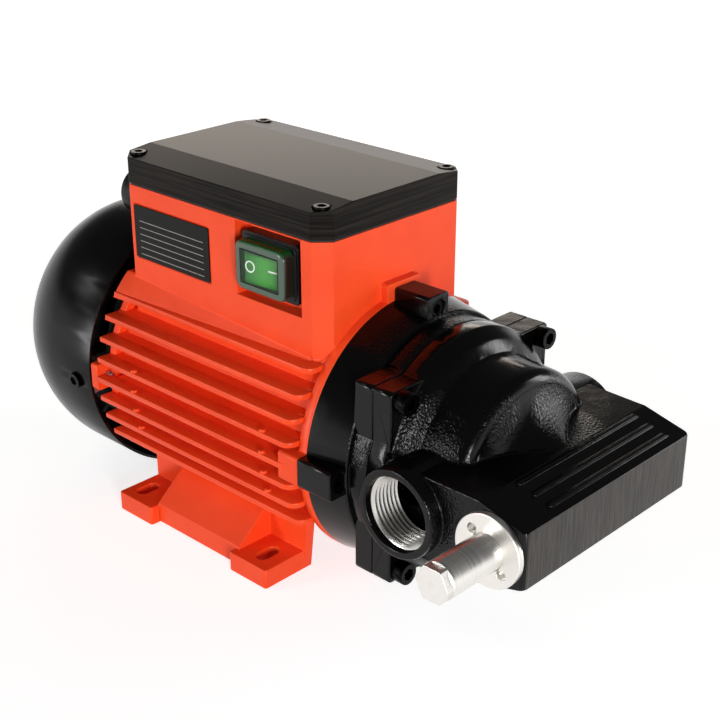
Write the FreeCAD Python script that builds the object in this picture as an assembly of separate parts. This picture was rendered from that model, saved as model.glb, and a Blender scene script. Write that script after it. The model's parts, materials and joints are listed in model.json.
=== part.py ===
import FreeCAD, Part
import math
import os

# Diesel transfer pump: a self-priming vane pump flanged to a finned electric motor.
# Millimetres. The origin lies on the floor, midway between the two front foot slots.
# +X runs from the fan to the pump, +Y away from the switch, +Z up.

Vec = FreeCAD.Vector
X_DIR = Vec(1, 0, 0)
Y_DIR = Vec(0, 1, 0)
Z_DIR = Vec(0, 0, 1)

# Motor frame of size 71: axis height and foot slots
AXIS_HEIGHT = 71.0
FOOT_PITCH_X = 90.0
FOOT_PITCH_Y = 112.0
SLOT_WIDTH = 7.0
SLOT_LENGTH = 13.0

# Feet
PAD_THICKNESS = 10.0
PAD_EDGE = 12.0
PAD_REAR_END = 8.5
PAD_FRONT_END = 11.0
PAD_LENGTH = 25.5
RAIL_SLANT = 4.0
RAIL_HALF_GAP = 38.0
RAIL_WALL = 5.0
RAIL_ROOT = 3.0
WEDGE_EDGE = 4.5
WEDGE_TOP = 28.0
WEDGE_WALL = 4.0
WEDGE_LIFT = 1.0
WEDGE_OVERLAP = 2.5

# Motor housing
FRONT_FACE = 34.5
HOUSING_LENGTH = 147.5
BARREL_RADIUS = 57.5
STATOR_BORE = 52.0
FIN_PITCH = 10.4
FIN_TIP = 2.4
FIN_ROOT = 3.6
FIN_LOWEST = -3
FIN_HIGHEST = 4
FIN_REAR_RADIUS = 69.8
FIN_FRONT_RADIUS = 64.0
FIN_REAR_GAP = 6.0
FIN_SCOOP = 3.5
FRONT_RING_RADIUS = 63.3
FRONT_RING_LENGTH = 5.0
EAR_RADIUS = 69.0
EAR_HALF_WIDTH = 7.0
REAR_EAR_LENGTH = 5.2
FRONT_EAR_LENGTH = 12.0
EAR_PAD_MARGIN = 4.0
TIE_RADIUS = 62.0
FIT = 0.1

# Terminal box and its lid
BOX_LENGTH = 136.6
BOX_FRONT = 30.0
BOX_HALF_WIDTH = 47.4
BOX_TOP = 168.4
BOX_WALL = 3.0
BOX_FLOOR = 131.5
BOX_CHAMFER = 6.9
SKIRT_TOP = 122.5
GASKET = 0.8
LID_SIDE = 12.5
LID_CROWN = 2.1
LID_FLAT_HALF = 28.2
LID_WALL = 3.0
LID_SCREW_INSET = 6.9
LID_SCREW_RADIUS = 2.0
LID_HEAD_RADIUS = 3.6
LID_HEAD_HEIGHT = 2.6
LID_HEAD_PROUD = 0.8
LID_HEAD_GAP = 0.6
LID_SCREW_GRIP = 16.0
LID_HOLE_DEPTH = 18.0
POST_WALL = 2.5
GASKET_INSET = 0.8

# Switch and plate on the box's side
POCKET_CENTRE_X = -3.9
POCKET_CENTRE_Z = 150.2
POCKET_LENGTH = 41.9
POCKET_HEIGHT = 35.5
POCKET_DEPTH = 7.4
SWITCH_LENGTH = 35.7
SWITCH_HEIGHT = 27.5
SWITCH_FLANGE = 6.0
SWITCH_BODY_INSET = 2.6
SWITCH_BODY_DEPTH = 18.0
SWITCH_WELL_DEPTH = 12.0
BOOT_LENGTH = 28.5
BOOT_HEIGHT = 22.0
BOOT_PROUD = 7.5
BOOT_WALL = 1.1
BOOT_SEAT = 0.4
BOOT_ROUND = 4.0
BOOT_BEVEL = 0.8
ROCKER_LENGTH = 22.0
ROCKER_HEIGHT = 16.0
ROCKER_TILT = 7.0
ROCKER_PIN = 1.5
ROCKER_INSET = 2.0
ROCKER_PIVOT_DEPTH = 2.5
ROCKER_TAIL = 5.0
RUNNING = 0.05
TAB_LENGTH = 9.0
TAB_WIDTH = 6.2
TAB_THICKNESS = 0.8
TAB_SPREAD_X = 8.0
TAB_SPREAD_Z = 6.0
PLATE_LENGTH = 53.9
PLATE_HEIGHT = 26.5
PLATE_CENTRE_X = -70.0
PLATE_CENTRE_Z = 146.0
PLATE_THICKNESS = 0.8
PLATE_SUNK = 0.5

# Inside the box
CAPACITOR_RADIUS = 16.0
CAPACITOR_LENGTH = 68.0
CAPACITOR_X = -42.0
CAPACITOR_Y = 22.0
BLOCK_WIDTH = 20.0
BLOCK_HEIGHT = 16.0
BLOCK_X = -52.0
BLOCK_Y = -20.0
BLOCK_POLES = 4
BLOCK_PITCH = 10.0
BLOCK_HOLE = 2.0
BLOCK_HOLE_DEPTH = 8.0
LEAD_HOLE = 6.0
LEAD_HOLE_Y = 12.0

# Cable gland on the box's rear wall
GLAND_Y = -24.0
GLAND_Z = 156.0
GLAND_FLATS = 24.0
GLAND_THREAD = 10.0
GLAND_FLANGE = 6.0
GLAND_NUT_LENGTH = 12.0
GLAND_NUT_RADIUS = 12.0
GLAND_INSIDE = 10.0
GLAND_LOCKNUT = 4.0
GLAND_BORE = 7.8
GLAND_NECK = 8.0
GLAND_NUT_END = 4.0
GLAND_NUT_CHAMFER = 2.5
GLAND_SEAL_LENGTH = 10.0
CABLE_RADIUS = 5.0
GLAND_MOUTH_GAP = 1.5

# Fan, cowl and rear end shield
COWL_RADIUS = 69.6
COWL_SHEET = 1.6
COWL_GAP = 0.5
COWL_STRAIGHT = 28.5
COWL_DOME = 41.0
COWL_FLAT_RADIUS = 48.0
GRILLE_INNER = 13.0
GRILLE_SLOT = 7.0
GRILLE_RIB = 4.0
GRILLE_ROWS = 3
GRILLE_SPOKES = 6
COWL_SCREWS = 3
COWL_SCREW_TURN = 5.0
COWL_SCREW_SETBACK = 12.0
COWL_ARM_HALF = 5.0
COWL_ARM_MARGIN = 6.0
COWL_SCREW_HEAD = 2.2
COWL_SCREW_LENGTH = 12.0
FAN_RADIUS = 58.0
FAN_HUB = 13.0
FAN_LENGTH = 19.0
FAN_BLADES = 8
FAN_DISC = 2.5
FAN_BLADE = 2.0
FAN_SET_BACK = 4.0
SHIELD_REAR_LENGTH = 6.0
SPIGOT = 6.0
SPIGOT_WALL = 4.0

# Shaft and bearings
SHAFT_RADIUS = 7.0
BEARING_SEAT = 7.5
BEARING_RADIUS = 17.5
BEARING_WIDTH = 11.0
BEARING_INNER = 10.5
BEARING_GAP = 0.3
HUB_WALL = 4.5
REAR_BEARING_INSET = 8.0
FRONT_BEARING_INSET = 5.0
WASHER = 1.5
CORE_SHAFT = 10.0
STATOR_LENGTH = 65.0
STATOR_INNER = 28.1
AIR_GAP = 0.3
WINDING_LENGTH = 22.0
WINDING_INNER = 32.0
WINDING_OUTER = 49.0
WINDING_CHAMFER = 4.0
STATOR_REAR = -75.0
END_RING = 7.0
SEAL_RADIUS = 12.5
SEAL_WIDTH = 7.0
SEAL_INSET = 0.5

# Front end shield and pump flange
DRUM_RADIUS = 55.5
DRUM_LENGTH = 18.5
DRUM_WALL = 8.0
FLANGE_STEP = 1.6
FLANGE_RADIUS = 57.5
FLANGE_THICKNESS = 10.2
LUG_THICKNESS = 10.5
LUG_HALF_Y = 53.5
LUG_HALF_Z = 46.0
LUG_INNER_Y = 28.0
LUG_INNER_Z = 19.0
LUG_ROUND = 2.0
PUMP_SCREW_Y = 47.5
PUMP_SCREW_Z = 41.0
SCREW_M6 = 3.0
HEAD_M6 = 5.0
HEAD_M6_HEIGHT = 6.0
SCREW_M5 = 2.5
HEAD_M5 = 4.25
HEAD_M5_HEIGHT = 5.0
LOW_HEAD_HEIGHT = 2.8
HEAD_SUNK = 1.0
TAIL = 4.5

# Pump body
RIM_RADIUS = 54.0
RIM_REACH = 15.2
PUMP_DRUM_RADIUS = 47.5
PUMP_DRUM_LENGTH = 42.0
BLEND = 18.0
ARM_HALF_HEIGHT = 19.0
ARM_HALF_WIDTH = 59.0
NOSE_FLAT_END = 127.0
NOSE_FACE = 150.7
NOSE_HALF_HEIGHT = 13.0
NOSE_ROUND = 3.0
RIBS = 3
RIB_FIRST = 129.4
RIB_PITCH = 7.8
RIB_RADIUS = 1.1
RIB_HEIGHT = 0.8
RIB_HALF_LENGTH = 42.0
RIB_CENTRE_Y = 5.0
PORT_X = 89.0
PORT_REACH = 66.1
PORT_BOSS = 20.15
PORT_THREAD = 16.62
PORT_DEPTH = 20.0
PASSAGE = 7.5

# Pump works
CHAMBER_RADIUS = 33.0
CHAMBER_DEPTH = 28.0
PORT_PLATE = 3.0
CAM_BORE = 27.5
CAM_OFFSET = 2.7
ROTOR_RADIUS = 24.5
VANES = 5
VANE_THICKNESS = 4.0
VANE_DEPTH = 13.0
AXIAL_PLAY = 0.1
O_RING = 1.5

# Bypass valve in the nose
BYPASS_X = 134.0
BYPASS_BORE = 11.0
BYPASS_SEAT_Y = -5.0
BYPASS_PASSAGE = 6.0
BYPASS_RING_RADIUS = 16.3
BYPASS_RING = 3.0
BYPASS_RING_PLUG = 11.0
SPANNER_HOLE = 2.3
SPANNER_CIRCLE = 10.8
CAP_RADIUS = 8.25
CAP_REACH = 33.0
CAP_COLLAR = 3.0
CAP_FLATS = 14.6
CAP_FLAT_LENGTH = 4.0
GUIDE_RADIUS = 3.5
GUIDE_DEPTH = 16.0
POPPET_RADIUS = 8.0
POPPET_HEAD = 4.0
SPRING_WIRE = 0.8
SPRING_RADIUS = 5.6
SPRING_TURNS = 5

REAR_FACE = FRONT_FACE - HOUSING_LENGTH
BOX_REAR = BOX_FRONT - BOX_LENGTH
BOX_MIDDLE = (BOX_FRONT + BOX_REAR) / 2
RAIL_WALL_Y = RAIL_HALF_GAP + RAIL_WALL
FOOT_HALF_WIDTH = FOOT_PITCH_Y / 2 + PAD_EDGE
LUG_REAR = FRONT_FACE + DRUM_LENGTH + FLANGE_STEP
PARTING = LUG_REAR + FLANGE_THICKNESS
LUG_FRONT = PARTING + LUG_THICKNESS
LID_BOTTOM = BOX_TOP + GASKET
COWL_RIM = REAR_FACE - COWL_GAP
COWL_END = COWL_RIM - COWL_STRAIGHT - COWL_DOME
NOSE_SIDE = -ARM_HALF_WIDTH


def box(x0, x1, y0, y1, z0, z1):
    return Part.makeBox(x1 - x0, y1 - y0, z1 - z0, Vec(x0, y0, z0))


def along_x(x0, x1, radius, y=0.0, z=AXIS_HEIGHT):
    return Part.makeCylinder(radius, x1 - x0, Vec(x0, y, z), X_DIR)


def along_y(y0, y1, radius, x, z=AXIS_HEIGHT):
    return Part.makeCylinder(radius, y1 - y0, Vec(x, y0, z), Y_DIR)


def along_z(z0, z1, radius, x, y):
    return Part.makeCylinder(radius, z1 - z0, Vec(x, y, z0), Z_DIR)


def face_of(points):
    vectors = [Vec(*p) for p in points]
    return Part.Face(Part.makePolygon(vectors + vectors[:1]))


def prism(points, direction):
    """Solid of a closed outline, pushed along a vector."""
    return face_of(points).extrude(Vec(*direction))


def turned(outline):
    """Revolve a closed list of (x, radius) points about the motor axis."""
    face = face_of([(x, radius, 0) for x, radius in outline])
    return on_axis(face.revolve(Vec(0, 0, 0), X_DIR, 360))


def on_axis(shape):
    shape.translate(Vec(0, 0, AXIS_HEIGHT))
    return shape


def ring_x(x0, x1, outer, inner, y=0.0, z=AXIS_HEIGHT):
    return along_x(x0, x1, outer, y, z).cut(along_x(x0 - 1, x1 + 1, inner, y, z))


def fused(shapes):
    result = shapes[0].fuse(shapes[1:]) if len(shapes) > 1 else shapes[0]
    return result.removeSplitter()


def around_axis(shape, degrees):
    """Copy of a shape turned about the motor axis."""
    return shape.rotated(Vec(0, 0, AXIS_HEIGHT), X_DIR, degrees)


def edges_along(shape, direction, keep):
    """Straight edges parallel to a direction whose middle passes a test."""
    found = []
    for edge in shape.Edges:
        if not isinstance(edge.Curve, Part.Line):
            continue
        if abs(abs(edge.tangentAt(edge.FirstParameter).dot(direction)) - 1) > 1e-6:
            continue
        if keep(edge.CenterOfMass):
            found.append(edge)
    return found


def hex_prism(flats, height, place, direction):
    """Hexagonal bar of a given width across flats."""
    radius = flats / math.sqrt(3)
    corners = [
        Vec(radius * math.cos(math.radians(60 * i)), radius * math.sin(math.radians(60 * i)), 0)
        for i in range(6)
    ]
    bar = Part.Face(Part.makePolygon(corners + corners[:1])).extrude(Vec(0, 0, height))
    bar.Placement = FreeCAD.Placement(place, FreeCAD.Rotation(Z_DIR, direction))
    return bar


def socket_screw(seat, direction, radius, head_radius, head_height, length):
    """Socket head screw whose head stands on seat and whose shank runs against direction."""
    shank = Part.makeCylinder(radius, length, seat - direction * length, direction)
    head = Part.makeCylinder(head_radius, head_height, seat, direction)
    socket_depth = head_height * 0.5
    place = seat + direction * (head_height - socket_depth)
    socket = hex_prism(head_radius, socket_depth + 1, place, direction)
    return shank.fuse(head).cut(socket)


def polar_yz(radius, degrees):
    angle = math.radians(degrees)
    return radius * math.cos(angle), AXIS_HEIGHT + radius * math.sin(angle)


# Motor housing: barrel, fins, ears, terminal box and foot rails in one casting


def fin_envelope(x0, x1):
    """Cone that the tips of all fins touch."""
    slope = (FIN_FRONT_RADIUS - FIN_REAR_RADIUS) / HOUSING_LENGTH
    rear = FIN_REAR_RADIUS + slope * (x0 - REAR_FACE)
    front = FIN_REAR_RADIUS + slope * (x1 - REAR_FACE)
    return Part.makeCone(rear, front, x1 - x0, Vec(x0, 0, AXIS_HEIGHT), X_DIR)


def fin_plate(level, x0, x1):
    """One flat fin that crosses the barrel, thinner at both tips."""
    height = AXIS_HEIGHT + level * FIN_PITCH
    reach = FIN_REAR_RADIUS + 1
    outline = [
        (x0, -reach, height - FIN_TIP / 2),
        (x0, 0, height - FIN_ROOT / 2),
        (x0, reach, height - FIN_TIP / 2),
        (x0, reach, height + FIN_TIP / 2),
        (x0, 0, height + FIN_ROOT / 2),
        (x0, -reach, height + FIN_TIP / 2),
    ]
    return prism(outline, (x1 - x0, 0, 0))


def skirt(x0, x1):
    """Sloping shoulder between the box wall and the highest fin."""
    low = AXIS_HEIGHT + FIN_HIGHEST * FIN_PITCH
    side = BOX_HALF_WIDTH
    reach = side + SKIRT_TOP - low
    outline = [(x0, -side, SKIRT_TOP), (x0, -reach, low), (x0, reach, low), (x0, side, SKIRT_TOP)]
    return prism(outline, (x1 - x0, 0, 0))


def fins():
    x0 = REAR_FACE + FIN_REAR_GAP
    x1 = FRONT_FACE - FRONT_RING_LENGTH
    plates = [fin_plate(level, x0, x1) for level in range(FIN_LOWEST, FIN_HIGHEST + 1)]
    body = fused(plates + [skirt(x0, x1)]).common(fin_envelope(x0, x1))
    bottom = FIN_FRONT_RADIUS - FIN_SCOOP / 2
    scoop = turned(
        [
            (x1 - 2 * FIN_SCOOP, FIN_REAR_RADIUS),
            (x1 - 2 * FIN_SCOOP, FIN_FRONT_RADIUS + FIN_SCOOP / 4),
            (x1 - FIN_SCOOP, bottom),
            (x1, bottom),
            (x1, FIN_REAR_RADIUS),
        ]
    )
    return body.cut(scoop)


def ear(x0, x1, outer, half_width, degrees):
    block = box(x0, x1, -half_width, half_width, AXIS_HEIGHT + STATOR_BORE, AXIS_HEIGHT + outer)
    corners = edges_along(block, X_DIR, lambda c: c.z > AXIS_HEIGHT + STATOR_BORE + 1)
    return around_axis(block.makeFillet(1.5, corners), degrees)


def rounded_block(x0, x1, half_width, z0, z1, chamfer):
    block = box(x0, x1, -half_width, half_width, z0, z1)
    return block.makeChamfer(chamfer, edges_along(block, Z_DIR, lambda c: True))


def terminal_box():
    return rounded_block(
        BOX_REAR, BOX_FRONT, BOX_HALF_WIDTH, AXIS_HEIGHT + 20, BOX_TOP, BOX_CHAMFER
    )


def box_cavity():
    wall = BOX_WALL
    return rounded_block(
        BOX_REAR + wall, BOX_FRONT - wall, BOX_HALF_WIDTH - wall, BOX_FLOOR, BOX_TOP + 1,
        BOX_CHAMFER,
    )


def lid_screw_places():
    dx = BOX_LENGTH / 2 - LID_SCREW_INSET
    dy = BOX_HALF_WIDTH - LID_SCREW_INSET
    return [(BOX_MIDDLE + i * dx, j * dy) for i in (-1, 1) for j in (-1, 1)]


def pocket_shape(margin, y0, y1):
    half_x = POCKET_LENGTH / 2 + margin
    half_z = POCKET_HEIGHT / 2 + margin
    return box(
        POCKET_CENTRE_X - half_x, POCKET_CENTRE_X + half_x, y0, y1,
        POCKET_CENTRE_Z - half_z, POCKET_CENTRE_Z + half_z,
    )


def switch_block(length, height, y0, y1, rounding):
    block = box(
        POCKET_CENTRE_X - length / 2, POCKET_CENTRE_X + length / 2, y0, y1,
        POCKET_CENTRE_Z - height / 2, POCKET_CENTRE_Z + height / 2,
    )
    return block.makeFillet(rounding, edges_along(block, Y_DIR, lambda c: True))


def foot_rail(side):
    """One rail: upright wall, two slotted pads and the hollow wedge between them."""
    rear = -FOOT_PITCH_X - PAD_REAR_END
    front = PAD_FRONT_END
    wall_top = AXIS_HEIGHT - math.sqrt(BARREL_RADIUS**2 - RAIL_WALL_Y**2) + RAIL_ROOT
    wall = prism(
        [
            (rear, RAIL_HALF_GAP, 0),
            (front, RAIL_HALF_GAP, 0),
            (front + RAIL_SLANT, RAIL_HALF_GAP, wall_top),
            (rear, RAIL_HALF_GAP, wall_top),
        ],
        (0, RAIL_WALL, 0),
    )
    pads = []
    for x0 in (rear, front - PAD_LENGTH):
        pad = box(x0, x0 + PAD_LENGTH, RAIL_HALF_GAP, FOOT_HALF_WIDTH, 0, PAD_THICKNESS)
        outer = edges_along(pad, Z_DIR, lambda c: c.y > RAIL_WALL_Y)
        pads.append(pad.makeFillet(1.5, outer))
    lip = FOOT_HALF_WIDTH - WEDGE_EDGE
    wedge = prism(
        [
            (rear + PAD_LENGTH, RAIL_HALF_GAP, WEDGE_LIFT),
            (rear + PAD_LENGTH, lip, WEDGE_LIFT),
            (rear + PAD_LENGTH, lip, PAD_THICKNESS + 1),
            (rear + PAD_LENGTH, RAIL_WALL_Y, WEDGE_TOP),
            (rear + PAD_LENGTH, RAIL_HALF_GAP, WEDGE_TOP),
        ],
        (front - rear - 2 * PAD_LENGTH + WEDGE_OVERLAP, 0, 0),
    )
    rail = fused([wall, wedge] + pads)
    hollow = prism(
        [
            (rear + PAD_LENGTH + WEDGE_WALL, RAIL_WALL_Y, -1),
            (rear + PAD_LENGTH + WEDGE_WALL, lip - WEDGE_WALL, -1),
            (rear + PAD_LENGTH + WEDGE_WALL, lip - WEDGE_WALL, PAD_THICKNESS - WEDGE_WALL / 2),
            (rear + PAD_LENGTH + WEDGE_WALL, RAIL_WALL_Y, WEDGE_TOP - 1.5 * WEDGE_WALL),
        ],
        (front - rear - 2 * PAD_LENGTH - 2 * WEDGE_WALL, 0, 0),
    )
    slots = []
    half = (SLOT_LENGTH - SLOT_WIDTH) / 2
    for x in (0, -FOOT_PITCH_X):
        middle = FOOT_PITCH_Y / 2
        for y in (middle - half, middle + half):
            slots.append(along_z(-1, PAD_THICKNESS + 1, SLOT_WIDTH / 2, x, y))
        slots.append(
            box(x - SLOT_WIDTH / 2, x + SLOT_WIDTH / 2, middle - half, middle + half, -1,
                PAD_THICKNESS + 1)
        )
    rail = rail.cut([hollow] + slots)
    return rail if side > 0 else rail.mirror(Vec(0, 0, 0), Y_DIR)


def motor_housing():
    barrel = along_x(REAR_FACE, FRONT_FACE, BARREL_RADIUS)
    ring = along_x(FRONT_FACE - FRONT_RING_LENGTH, FRONT_FACE, FRONT_RING_RADIUS)
    rear_ear_end = REAR_FACE + REAR_EAR_LENGTH
    front_ear_start = FRONT_FACE - FRONT_EAR_LENGTH
    ears = []
    for turn in range(4):
        ears.append(ear(REAR_FACE, rear_ear_end, EAR_RADIUS, EAR_HALF_WIDTH, 90 * turn))
        ears.append(ear(front_ear_start, FRONT_FACE, EAR_RADIUS, EAR_HALF_WIDTH, 90 * turn))
    pad_half = EAR_HALF_WIDTH + EAR_PAD_MARGIN
    ears.append(ear(BOX_FRONT - 1, FRONT_FACE, EAR_RADIUS + 2, pad_half, 0))
    ribbing = fins()
    reliefs = []
    for degrees in (0, 180):
        y, z = polar_yz(TIE_RADIUS, degrees)
        reliefs.append(along_x(rear_ear_end, rear_ear_end + TAIL + 3, HEAD_M6, y, z))
        reliefs.append(along_x(front_ear_start - TAIL - 3, front_ear_start, HEAD_M6, y, z))
    ribbing = ribbing.cut(reliefs)
    casting = fused(
        [barrel, ring, ribbing, terminal_box(), foot_rail(1), foot_rail(-1)] + ears
    )
    inner_y = POCKET_DEPTH + BOX_WALL - BOX_HALF_WIDTH
    cavity = box_cavity().cut(pocket_shape(BOX_WALL, -BOX_HALF_WIDTH, inner_y))
    posts = [along_z(BOX_FLOOR - 1, BOX_TOP + 1, LID_SCREW_RADIUS + POST_WALL, x, y)
             for x, y in lid_screw_places()]
    bosses = []
    y, z = polar_yz(TIE_RADIUS, 90)
    boss = SCREW_M5 + 3
    bosses.append(along_x(rear_ear_end, rear_ear_end + TAIL + 3, boss, y, z))
    bosses.append(along_x(front_ear_start - TAIL - 3, front_ear_start, boss, y, z))
    cavity = cavity.cut(posts + bosses)
    tools = [
        cavity,
        along_x(REAR_FACE - 1, FRONT_FACE + 1, STATOR_BORE),
        along_z(AXIS_HEIGHT + STATOR_BORE - 5, BOX_FLOOR + 1, LEAD_HOLE,
                STATOR_REAR - WINDING_LENGTH / 2, LEAD_HOLE_Y),
        pocket_shape(0, -BOX_HALF_WIDTH - 1, POCKET_DEPTH - BOX_HALF_WIDTH),
        switch_block(
            SWITCH_LENGTH - 2 * SWITCH_BODY_INSET + 2 * FIT,
            SWITCH_HEIGHT - 2 * SWITCH_BODY_INSET + 2 * FIT,
            -BOX_HALF_WIDTH, inner_y + 1, 1.0,
        ),
        plate_block(PLATE_LENGTH + 1, PLATE_HEIGHT + 1, PLATE_SUNK, 1),
        along_x(BOX_REAR - 1, BOX_REAR + BOX_WALL + 1, GLAND_THREAD + FIT, GLAND_Y, GLAND_Z),
    ]
    for x, y in lid_screw_places():
        tools.append(along_z(BOX_TOP - LID_HOLE_DEPTH, BOX_TOP + 1, LID_SCREW_RADIUS, x, y))
    for turn in range(4):
        y, z = polar_yz(TIE_RADIUS, 90 * turn)
        tools.append(along_x(REAR_FACE - 1, rear_ear_end + TAIL, SCREW_M5, y, z))
        tools.append(along_x(front_ear_start - TAIL, FRONT_FACE + 1, SCREW_M5, y, z))
    return casting.cut(tools).removeSplitter()


# Terminal box fittings


def plate_block(length, height, sunk, proud):
    y0 = -BOX_HALF_WIDTH - proud
    block = box(
        PLATE_CENTRE_X - length / 2, PLATE_CENTRE_X + length / 2, y0, sunk - BOX_HALF_WIDTH,
        PLATE_CENTRE_Z - height / 2, PLATE_CENTRE_Z + height / 2,
    )
    return block.makeFillet(1.2, edges_along(block, Y_DIR, lambda c: True))


def rating_plate():
    return plate_block(PLATE_LENGTH, PLATE_HEIGHT, PLATE_SUNK, PLATE_THICKNESS - PLATE_SUNK)


def lid_gasket():
    inset = GASKET_INSET
    outer = rounded_block(
        BOX_REAR + inset, BOX_FRONT - inset, BOX_HALF_WIDTH - inset, BOX_TOP, LID_BOTTOM,
        BOX_CHAMFER,
    )
    wall = BOX_WALL
    inner = rounded_block(
        BOX_REAR + wall, BOX_FRONT - wall, BOX_HALF_WIDTH - wall, BOX_TOP - 1, LID_BOTTOM + 1,
        BOX_CHAMFER,
    )
    corners = [along_z(BOX_TOP, LID_BOTTOM, LID_SCREW_RADIUS + POST_WALL, x, y)
               for x, y in lid_screw_places()]
    holes = [along_z(BOX_TOP - 1, LID_BOTTOM + 1, LID_SCREW_RADIUS, x, y)
             for x, y in lid_screw_places()]
    return outer.cut(inner).fuse([c.common(outer) for c in corners]).cut(holes).removeSplitter()


def lid_top_height(y):
    side = LID_BOTTOM + LID_SIDE
    run = BOX_HALF_WIDTH - LID_FLAT_HALF
    return side + LID_CROWN * min(1, (BOX_HALF_WIDTH - abs(y)) / run)


def head_seat():
    return lid_top_height(BOX_HALF_WIDTH - LID_SCREW_INSET) - LID_HEAD_HEIGHT + LID_HEAD_PROUD


def box_lid():
    side = LID_BOTTOM + LID_SIDE
    top = side + LID_CROWN
    half = BOX_HALF_WIDTH
    crown = prism(
        [
            (BOX_REAR, -half, LID_BOTTOM),
            (BOX_REAR, half, LID_BOTTOM),
            (BOX_REAR, half, side),
            (BOX_REAR, LID_FLAT_HALF, top),
            (BOX_REAR, -LID_FLAT_HALF, top),
            (BOX_REAR, -half, side),
        ],
        (BOX_LENGTH, 0, 0),
    )
    lid = crown.common(rounded_block(BOX_REAR, BOX_FRONT, half, LID_BOTTOM, top, BOX_CHAMFER))
    wall = LID_WALL
    hollow = rounded_block(
        BOX_REAR + wall, BOX_FRONT - wall, half - wall, LID_BOTTOM - 1, side - wall, BOX_CHAMFER
    )
    posts = [along_z(LID_BOTTOM - 1, side, LID_SCREW_RADIUS + POST_WALL, x, y)
             for x, y in lid_screw_places()]
    tools = [hollow.cut(posts)]
    for x, y in lid_screw_places():
        tools.append(along_z(head_seat(), top + 1, LID_HEAD_RADIUS + LID_HEAD_GAP, x, y))
        tools.append(along_z(LID_BOTTOM - 1, top, LID_SCREW_RADIUS, x, y))
    return lid.cut(tools)


def lid_screws():
    screws = []
    for x, y in lid_screw_places():
        seat = Vec(x, y, head_seat())
        length = seat.z - BOX_TOP + LID_SCREW_GRIP
        screws.append(
            socket_screw(seat, Z_DIR, LID_SCREW_RADIUS, LID_HEAD_RADIUS, LID_HEAD_HEIGHT, length)
        )
    return screws


def pocket_floor():
    return POCKET_DEPTH - BOX_HALF_WIDTH


def boot_front():
    return pocket_floor() - SWITCH_FLANGE - BOOT_PROUD


def rocker_pivot_y():
    return pocket_floor() - SWITCH_FLANGE + ROCKER_PIVOT_DEPTH


def switch_well():
    """Opening of the switch frame that the boot seals and the rocker tips in."""
    inset = 2 * BOOT_WALL
    y0 = boot_front() + BOOT_WALL
    y1 = pocket_floor() - SWITCH_FLANGE + SWITCH_WELL_DEPTH
    return switch_block(BOOT_LENGTH - inset, BOOT_HEIGHT - inset, y0, y1, 1.5)


def switch_frame():
    floor = pocket_floor()
    flange = switch_block(SWITCH_LENGTH, SWITCH_HEIGHT, floor - SWITCH_FLANGE, floor, 2.0)
    step = switch_block(
        SWITCH_LENGTH - 3, SWITCH_HEIGHT - 3, floor - SWITCH_FLANGE - 0.6,
        floor - SWITCH_FLANGE + 0.5, 2.0,
    )
    body = switch_block(
        SWITCH_LENGTH - 2 * SWITCH_BODY_INSET, SWITCH_HEIGHT - 2 * SWITCH_BODY_INSET, floor,
        floor + SWITCH_BODY_DEPTH, 1.0,
    )
    pivot = along_z(
        POCKET_CENTRE_Z - BOOT_HEIGHT / 2 - 1, POCKET_CENTRE_Z + BOOT_HEIGHT / 2 + 1,
        ROCKER_PIN + RUNNING, POCKET_CENTRE_X, rocker_pivot_y(),
    )
    seat = switch_block(
        BOOT_LENGTH, BOOT_HEIGHT, floor - SWITCH_FLANGE - 1, floor - SWITCH_FLANGE + BOOT_SEAT,
        BOOT_ROUND,
    )
    return fused([flange, step, body]).cut([switch_well(), pivot, seat])


def switch_boot():
    seat = pocket_floor() - SWITCH_FLANGE + BOOT_SEAT
    shell = switch_block(BOOT_LENGTH, BOOT_HEIGHT, boot_front(), seat, BOOT_ROUND)
    front = [e for e in shell.Edges if abs(e.CenterOfMass.y - boot_front()) < 1e-6]
    return shell.makeChamfer(BOOT_BEVEL, front).cut(switch_well())


def switch_rocker():
    pivot_y = rocker_pivot_y()
    front = boot_front() + BOOT_WALL + ROCKER_INSET
    half = ROCKER_LENGTH / 2
    z0 = POCKET_CENTRE_Z - ROCKER_HEIGHT / 2
    cap = prism(
        [
            (POCKET_CENTRE_X - half, front, z0),
            (POCKET_CENTRE_X + half, front, z0),
            (POCKET_CENTRE_X + half - 1.5, pivot_y, z0),
            (POCKET_CENTRE_X + 2 * ROCKER_PIN, pivot_y + ROCKER_TAIL, z0),
            (POCKET_CENTRE_X - 2 * ROCKER_PIN, pivot_y + ROCKER_TAIL, z0),
            (POCKET_CENTRE_X - half + 1.5, pivot_y, z0),
        ],
        (0, 0, ROCKER_HEIGHT),
    )
    reach = BOOT_HEIGHT / 2 + 0.9
    pin = along_z(
        POCKET_CENTRE_Z - reach, POCKET_CENTRE_Z + reach, ROCKER_PIN, POCKET_CENTRE_X, pivot_y
    )
    return cap.fuse(pin).rotated(Vec(POCKET_CENTRE_X, pivot_y, 0), Z_DIR, ROCKER_TILT)


def switch_terminals():
    start = pocket_floor() + SWITCH_BODY_DEPTH
    tabs = []
    for i in (-1, 1):
        for j in (-1, 1):
            x = POCKET_CENTRE_X + i * TAB_SPREAD_X
            z = POCKET_CENTRE_Z + j * TAB_SPREAD_Z
            half_x = TAB_WIDTH / 2
            half_z = TAB_THICKNESS / 2
            tabs.append(
                box(x - half_x, x + half_x, start, start + TAB_LENGTH, z - half_z, z + half_z)
            )
    return tabs


def capacitor():
    half = CAPACITOR_LENGTH / 2
    return along_x(CAPACITOR_X - half, CAPACITOR_X + half, CAPACITOR_RADIUS, CAPACITOR_Y,
                   BOX_FLOOR + CAPACITOR_RADIUS)


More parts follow.
